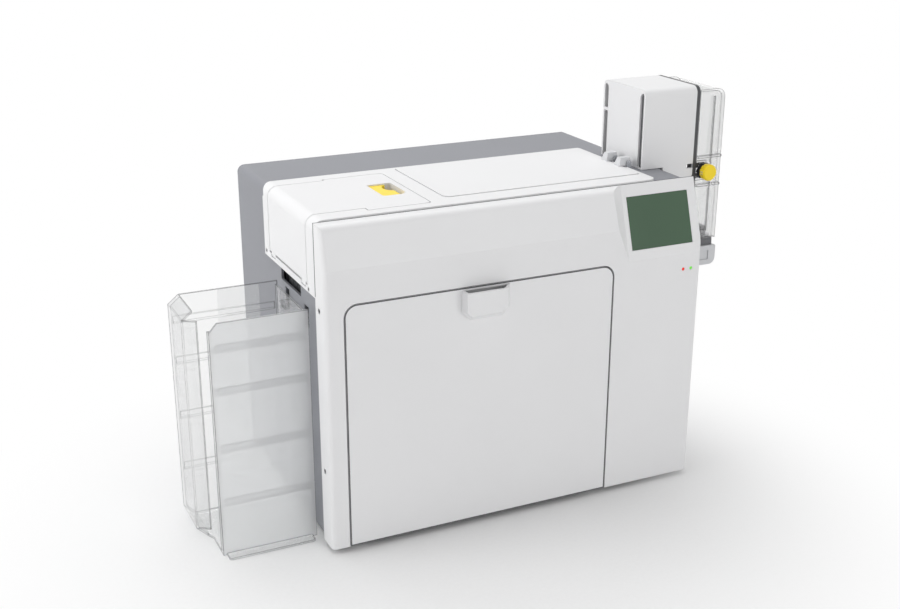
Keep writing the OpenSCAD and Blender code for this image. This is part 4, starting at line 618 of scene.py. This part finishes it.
def toothed_rubber(name, colour, groove, tooth_mm):
    """Neoprene belt: dull black with moulded teeth across it."""
    made, tree = blank_material(name)
    place = add_node(tree, "ShaderNodeTexCoord", {}, {})
    teeth = add_node(tree, "ShaderNodeTexWave",
                     {"wave_type": "BANDS", "bands_direction": "X", "Distortion": 0.0,
                      "Scale": 1000 / tooth_mm / WAVES_PER_SCALE}, {"Vector": place.outputs["Object"]})
    paint = add_node(tree, "ShaderNodeMix", {"data_type": "RGBA", "A": linear(groove), "B": linear(colour)},
                     {"Factor": teeth.outputs["Fac"]})
    bump = add_node(tree, "ShaderNodeBump", {"Strength": 0.6, "Distance": 0.0005},
                    {"Height": teeth.outputs["Fac"]})
    body = add_node(tree, "ShaderNodeBsdfPrincipled", {"IOR": 1.52, "Roughness": 0.66},
                    {"Base Color": paint.outputs["Result"], "Normal": bump.outputs["Normal"]})
    add_node(tree, "ShaderNodeOutputMaterial", {}, {"Surface": body.outputs["BSDF"]})
    return made


dress(toothed_rubber("Neoprene toothed belt", "26272A", "141517", 3), "drive_belt")
RUBBER_HALF = 23.02
PULLEY_FRONT = 150.2
PULLEY_REAR = 156.6
rubber_ends = (CARD_BACK - RUBBER_HALF, CARD_BACK + RUBBER_HALF)
for roller in ("feed_roller_in", "feed_roller_mid", "feed_roller_out"):
    dress(black_rubber, roller)
    paint_faces(roller, turned_steel, *ends_beyond(*rubber_ends, PULLEY_FRONT))
    paint_faces(roller, black_abs, ((-FAR, PULLEY_FRONT + 0.05, -FAR), (FAR, PULLEY_REAR, FAR)))
blue_silicone = ground_rubber("Silicone tacky blue", "3E6FA8", "5686BC", 0.34)
dress(blue_silicone, "cleaning_roller")
paint_faces("cleaning_roller", turned_steel, *ends_beyond(*rubber_ends))
dress(turned_steel, "motor_pulley")
dress(black_abs, "drive_motor")
# A die casting is duller and greyer than sheet or turned steel.
cast_aluminium = sheet_metal("Aluminium die cast", "B4B6B9", 0.46, 2, 0.8)
CAN_FRONT = 167.9
CAN_REAR = 185.1
paint_faces("drive_motor", cast_aluminium, *ends_beyond(CAN_FRONT, CAN_REAR))


# ---- Turning unit ----
# Two side discs moulded in blue ABS hold a card between guide plates and four rubber pinch rollers.
# The unit turns as a whole between the frame plates, so that the other side of a card can be printed.

# Inner parts that a hand takes hold of are moulded in blue, with a fine grain and a soft sheen.
blue_abs = moulded_plastic("ABS moulded blue", "4A6E9A", "44678F", 0.4, 0.5, 0.04, 0.4)
dress(blue_abs, "flipper")
PINCH_FRONT = CARD_BACK - 20.02
PINCH_REAR = CARD_BACK + 20.02
CARD_HIGH = 233
paint_faces("flipper", black_rubber, ((30, PINCH_FRONT, CARD_HIGH + 2.2), (110, PINCH_REAR, CARD_HIGH + 13)),
            ((30, PINCH_FRONT, CARD_HIGH - 13), (110, PINCH_REAR, CARD_HIGH - 2.2)))


# ---- Print unit ----
# The heated roller is red-brown silicone on steel, pressed from above by a rubber roller.
# The print head is an aluminium block with fins on steel arms, and its edge is glazed ceramic.

# Cast silicone is smoother than ground rubber, so it has a soft dark shine.
red_silicone = ground_rubber("Silicone heated red-brown", "6A2A1C", "7C3726", 0.48)
dress(red_silicone, "hot_roller")
dress(black_rubber, "pressure_roller", "platen_roller")
SLEEVE_FRONT = 71.88
SLEEVE_REAR = 129.42
for roller in ("hot_roller", "pressure_roller", "platen_roller"):
    paint_faces(roller, turned_steel, *ends_beyond(SLEEVE_FRONT, SLEEVE_REAR))
dress(zinc_sheet, "print_head")
# Glaze is hard and smooth, so the head's printing edge shines.
glazed_ceramic = moulded_plastic("Ceramic glazed brown", "4A3A30", "40322A", 0.14, 2, 0.01, 0.2)
HEAD_FRONT = 74.3
HEAD_REAR = 125.6
paint_faces("print_head", cast_aluminium, ((115, HEAD_FRONT, 118), (133, HEAD_REAR, 142)))
paint_faces("print_head", glazed_ceramic, ((134.2, HEAD_FRONT, 120), (138, HEAD_REAR, 140)))


# ---- Ribbon and film cassettes ----
# Each cassette is an ABS frame that slides in from the front with its two spools.
# The ribbon is thin coated polyester with a run of colour panels, and the transfer film is clear.

dress(blue_abs, "ribbon_cassette")
slate_abs = moulded_plastic("ABS moulded slate", "39444C", "343E46", 0.42, 0.5, 0.04, 0.4)
dress(slate_abs, "film_cassette")


def wound_film(name, colour, other, rough):
    """Wound polyester film: fine rings of slightly different tone under a clear gloss."""
    made, tree = blank_material(name)
    place = add_node(tree, "ShaderNodeTexCoord", {}, {})
    squash = add_node(tree, "ShaderNodeMapping", {"Scale": (1000 / 2, 60, 1000 / 2)},
                      {"Vector": place.outputs["Object"]})
    rings = add_node(tree, "ShaderNodeTexNoise", {"Scale": 1.0, "Detail": 2.0},
                     {"Vector": squash.outputs["Vector"]})
    paint = add_node(tree, "ShaderNodeMix", {"data_type": "RGBA", "A": linear(colour), "B": linear(other)},
                     {"Factor": rings.outputs["Fac"]})
    body = add_node(tree, "ShaderNodeBsdfPrincipled", {"IOR": 1.6, "Roughness": rough, "Coat Weight": 0.3},
                    {"Base Color": paint.outputs["Result"]})
    add_node(tree, "ShaderNodeOutputMaterial", {}, {"Surface": body.outputs["BSDF"]})
    return made


def panelled_ribbon(name, colours, panel_mm, rough):
    """Print ribbon: equal dye panels that follow one another down the web, with hard edges between them."""
    made, tree = blank_material(name)
    place = add_node(tree, "ShaderNodeTexCoord", {}, {})
    split = add_node(tree, "ShaderNodeSeparateXYZ", {}, {"Vector": place.outputs["Object"]})
    turns = add_node(tree, "ShaderNodeMath", {"operation": "MULTIPLY", 1: 1000 / panel_mm / len(colours)},
                     {0: split.outputs["Z"]})
    share = add_node(tree, "ShaderNodeMath", {"operation": "FRACT"}, {0: turns.outputs["Value"]})
    ramp = add_node(tree, "ShaderNodeValToRGB", {}, {"Fac": share.outputs["Value"]})
    ramp.color_ramp.interpolation = "CONSTANT"
    points = ramp.color_ramp.elements
    for i, colour in enumerate(colours):
        point = points[i] if i < 2 else points.new(i / len(colours))
        point.position = i / len(colours)
        point.color = linear(colour)
    body = add_node(tree, "ShaderNodeBsdfPrincipled", {"IOR": 1.6, "Roughness": rough, "Coat Weight": 0.4},
                    {"Base Color": ramp.outputs["Color"]})
    add_node(tree, "ShaderNodeOutputMaterial", {}, {"Surface": body.outputs["BSDF"]})
    return made


# Film wound on a spool shows rings as fine as itself, which are drawn about 2 mm apart so that they show,
# and its gloss draws the light out along the spool.
dark_ribbon = wound_film("Polyester ribbon wound", "1D1A24", "2A2632", 0.22)
dress(dark_ribbon, "ribbon_supply", "ribbon_takeup")
# The panels run yellow, magenta, cyan and black. A real one is as long as a card, and they are drawn
# 22 mm long here so that all four show on the stretch between the spools.
PANELS = ["E6C832", "B83A6E", "2F86B4", "23222A"]
dyed_ribbon = panelled_ribbon("Polyester ribbon with dye panels", PANELS, 22, 0.2)
dress(dyed_ribbon, "ribbon_web")
clear_film = wound_film("Polyester transfer film", "C6CACF", "B8BDC4", 0.16)
dress(clear_film, "film_supply", "film_takeup", "film_web")
WEB_FRONT = 71.35
WEB_REAR = 127.45
for spool in ("ribbon_supply", "ribbon_takeup", "film_supply", "film_takeup"):
    paint_faces(spool, light_grey_abs, *ends_beyond(WEB_FRONT, WEB_REAR))


# ---- Main board ----
# The board is a green printed circuit on steel spacers, with black chips, capacitors and white sockets.
# Solder mask is a thin gloss over copper, so its tracks show as slightly lighter lines.

def solder_mask(name, colour, track, pitch_mm):
    """Solder mask: glossy green with lighter tracks and small round plated holes."""
    made, tree = blank_material(name)
    place = add_node(tree, "ShaderNodeTexCoord", {}, {})
    tracks = add_node(tree, "ShaderNodeTexBrick",
                      {"Scale": 1000 / pitch_mm, "Brick Width": 0.9, "Row Height": 0.35,
                       "Color1": linear(colour), "Color2": linear(colour), "Mortar": linear(track),
                       "Mortar Size": 0.012},
                      {"Vector": place.outputs["Object"]})
    holes = add_node(tree, "ShaderNodeTexVoronoi", {"Scale": 1000 / pitch_mm},
                     {"Vector": place.outputs["Object"]})
    ring = add_node(tree, "ShaderNodeMath", {"operation": "LESS_THAN", 1: 0.09},
                    {0: holes.outputs["Distance"]})
    paint = add_node(tree, "ShaderNodeMix", {"data_type": "RGBA", "B": linear("B9A66A")},
                     {"Factor": ring.outputs["Value"], "A": tracks.outputs["Color"]})
    body = add_node(tree, "ShaderNodeBsdfPrincipled", {"IOR": 1.55, "Roughness": 0.3, "Coat Weight": 0.3},
                    {"Base Color": paint.outputs["Result"]})
    add_node(tree, "ShaderNodeOutputMaterial", {}, {"Surface": body.outputs["BSDF"]})
    return made


# Tracks are about 0.3 mm wide, drawn on a 9 mm pitch so that they show.
dress(solder_mask("Solder mask green", "1C6A40", "2C8552", 9), "main_board")
# Chips are matt moulded epoxy, sockets are natural nylon with a waxy sheen, and shells are tinned bright.
epoxy_black = moulded_plastic("Epoxy moulded black", "1B1C1E", "17181A", 0.46, 0.8, 0.02, 0.2)
white_nylon = moulded_plastic("Nylon moulded natural", "E6E2D4", "DEDACB", 0.44, 0.8, 0.03, 0.3)
tinned_steel = sheet_metal("Steel tinned", "C2C4C6", 0.3, 3, 0.4)
SPACERS_AND_BOARD = 13.6
SHELL_FRONT = 236
board_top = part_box("main_board")[0].z * 1000 + SPACERS_AND_BOARD
above = board_top + 0.05
# The chips come first, then the capacitors, the row of sockets, and the rear shells with the spacers.
paint_faces("main_board", epoxy_black, ((99, 177, above), (171, 203, board_top + 3)))
paint_faces("main_board", cast_aluminium, ((58, 172, above), (93, 180, board_top + 10)))
paint_faces("main_board", white_nylon, ((50, 154, above), (185, 162, board_top + 8)))
paint_faces("main_board", tinned_steel, ((82, SHELL_FRONT, board_top - 0.02), (130, 262, board_top + 15)),
            ((30, 140, 0), (210, 262, board_top - 2)))

# Surface parts are small moulded blocks of two lengths, in rows that leave room for the socket shells.
LONG_PART = 3.2
SHORT_PART = 2.0
PART_DEEP = 1.6
PART_HIGH = 1.1
PARTS_LEFT = 104
PARTS_FRONT = 208
PARTS_APART = 6.2
ROWS_APART = 7.4
SHELL_RIGHT = 134
SHELL_REACH = 232
blocks = bmesh.new()
for row in range(5):
    for i in range(14):
        x = PARTS_LEFT + i * PARTS_APART
        y = PARTS_FRONT + row * ROWS_APART
        if x < SHELL_RIGHT and y > SHELL_REACH:
            continue
        wide = LONG_PART if (i + row) % 3 else SHORT_PART
        size = Matrix.Diagonal((wide / 1000, PART_DEEP / 1000, PART_HIGH / 1000, 1))
        spot = Matrix.Translation(at(x, y, board_top + PART_HIGH / 2))
        bmesh.ops.create_cube(blocks, size=1, matrix=spot @ size)
bmesh.ops.bevel(blocks, geom=blocks.edges[:], offset=0.00015, segments=1, affect="EDGES")
add_piece("board_surface_parts", blocks, epoxy_black, "chassis")


# ---- Power supply, inlet, switch and fan ----
# The supply sits in a perforated steel case on the base. The inlet, switch and fan are black glass-filled
# ABS and sit in the rear panel, and three steel blades stand in the inlet.

# The strip of terminals on the supply is moulded epoxy.
dress(zinc_sheet, "power_supply")
paint_faces("power_supply", epoxy_black, ((240, 228.05, 0), (320, 240, 40)))
dress(black_abs, "mains_inlet", "power_switch", "cooling_fan", "fan_rotor")
HALF_WIDE = 1.15
HALF_HIGH = 2.1
blades = [((x - HALF_WIDE, 244.6, z - HALF_HIGH), (x + HALF_WIDE, 257.1, z + HALF_HIGH))
          for x, z in ((302.75, 28), (316.75, 28), (309.75, 33))]
paint_faces("mains_inlet", turned_steel, *blades)


# ---- Floor, lamps and camera ----
# The printer stands on a seamless white sweep under a large soft lamp from above.
# A lamp from the left brightens that side, and a weaker one in front fills the shadows.

# The sweep runs level to its bend and then up, and its sizes are in metres.
SWEEP_FRONT = -4.0
SWEEP_REAR = 2.2
SWEEP_BEND = 1.2
SWEEP_HIGH = 4.5
SWEEP_HALF = 6.0
BEND_STEPS = 16
rise = [(SWEEP_FRONT, 0.0), (SWEEP_REAR, 0.0)]
for i in range(1, BEND_STEPS + 1):
    turn = math.radians(90 * i / BEND_STEPS)
    rise.append((SWEEP_REAR + SWEEP_BEND * math.sin(turn), SWEEP_BEND - SWEEP_BEND * math.cos(turn)))
rise.append((SWEEP_REAR + SWEEP_BEND, SWEEP_HIGH))
sweep_mesh = bpy.data.meshes.new("floor_sweep")
corners = [(x, y, z) for y, z in rise for x in (-SWEEP_HALF, SWEEP_HALF)]
strips = [(2 * i, 2 * i + 1, 2 * i + 3, 2 * i + 2) for i in range(len(rise) - 1)]
sweep_mesh.from_pydata(corners, [], strips)
for face in sweep_mesh.polygons:
    face.use_smooth = True
sweep = bpy.data.objects.new("floor_sweep", sweep_mesh)
scene.collection.objects.link(sweep)


def seen_by_lens(tree):
    """A value that is 1 for what the lens sees, straight on or by way of gloss or clear plastic."""
    ray = add_node(tree, "ShaderNodeLightPath", {}, {})
    direct = add_node(tree, "ShaderNodeMath", {"operation": "MAXIMUM"},
                      {0: ray.outputs["Is Camera Ray"], 1: ray.outputs["Is Transmission Ray"]})
    every = add_node(tree, "ShaderNodeMath", {"operation": "MAXIMUM"},
                     {0: direct.outputs["Value"], 1: ray.outputs["Is Glossy Ray"]})
    return every.outputs["Value"]


# White paper: near the printer it takes the light and the shadow, and further off it fades to plain white.
# Its fibres are drawn about 3 mm apart, much coarser than real ones, so that they show at all.
FIBRES_IN_METRE = 300.0
FADE_MIDDLE = (-0.06, -0.12, 0.0)
FADE_FROM = 0.16
FADE_TO = 0.5
paper, tree = blank_material("Paper white matt")
place = add_node(tree, "ShaderNodeNewGeometry", {}, {})
shift = add_node(tree, "ShaderNodeVectorMath", {"operation": "SUBTRACT", 1: FADE_MIDDLE},
                 {0: place.outputs["Position"]})
away = add_node(tree, "ShaderNodeVectorMath", {"operation": "LENGTH"}, {0: shift.outputs["Vector"]})
fade = add_node(tree, "ShaderNodeMapRange",
                {"interpolation_type": "SMOOTHSTEP", "From Min": FADE_FROM, "From Max": FADE_TO},
                {"Value": away.outputs["Value"]})
fibre = add_node(tree, "ShaderNodeTexNoise", {"Scale": FIBRES_IN_METRE, "Detail": 2.0},
                 {"Vector": place.outputs["Position"]})
tone = add_node(tree, "ShaderNodeMix", {"data_type": "RGBA", "A": linear("ECECEC"), "B": linear("F1F1F1")},
                {"Factor": fibre.outputs["Fac"]})
matt = add_node(tree, "ShaderNodeBsdfDiffuse", {}, {"Color": tone.outputs["Result"]})
plain = add_node(tree, "ShaderNodeEmission", {"Strength": 1.0}, {})
share = add_node(tree, "ShaderNodeMath", {"operation": "MULTIPLY"},
                 {0: seen_by_lens(tree), 1: fade.outputs["Result"]})
both = add_node(tree, "ShaderNodeMixShader", {},
                {"Fac": share.outputs["Value"], 1: matt.outputs["BSDF"], 2: plain.outputs["Emission"]})
add_node(tree, "ShaderNodeOutputMaterial", {}, {"Surface": both.outputs["Shader"]})
sweep_mesh.materials.append(paper)


def soft_lamp(name, place, aim, size, power):
    """A square area lamp that faces a point."""
    data = bpy.data.lights.new(name, "AREA")
    data.size = size
    data.energy = power
    lamp = bpy.data.objects.new(name, data)
    lamp.location = place
    lamp.rotation_euler = (Vector(aim) - Vector(place)).to_track_quat("-Z", "Y").to_euler()
    scene.collection.objects.link(lamp)


soft_lamp("lamp_over", (-0.1, 0.75, 2.3), (0, 0, 0.1), 2.0, 29)
soft_lamp("lamp_left", (-2.2, 0.4, 1.1), (0, 0, 0.2), 1.5, 24)
soft_lamp("lamp_front", (0.6, -2.7, 0.7), (0, 0, 0.12), 1.6, 19.5)

# The room lights the printer dimly from all round, and what the lens sees of it is plain white.
room = bpy.data.worlds.new("White room")
room.use_nodes = True
room_tree = room.node_tree
room_tree.nodes.clear()
dim = add_node(room_tree, "ShaderNodeBackground", {"Color": (1, 1, 1, 1), "Strength": 0.45}, {})
bright = add_node(room_tree, "ShaderNodeBackground", {"Color": (1, 1, 1, 1), "Strength": 1.0}, {})
room_mix = add_node(room_tree, "ShaderNodeMixShader", {},
                    {"Fac": seen_by_lens(room_tree), 1: dim.outputs["Background"],
                     2: bright.outputs["Background"]})
add_node(room_tree, "ShaderNodeOutputWorld", {}, {"Surface": room_mix.outputs["Shader"]})
scene.world = room

# The camera stands to the left of the printer's front and looks down on it a little.
lens = bpy.data.cameras.new("camera")
lens.lens = 50.911
lens.sensor_width = 36
lens.shift_x = 0.0040
lens.shift_y = 0.01477
camera = bpy.data.objects.new("camera", lens)
camera.location = (-0.5085, -1.0865, 0.6074)
camera.rotation_euler = (math.radians(69.61), 0, math.radians(-24.96))
scene.collection.objects.link(camera)
scene.camera = camera
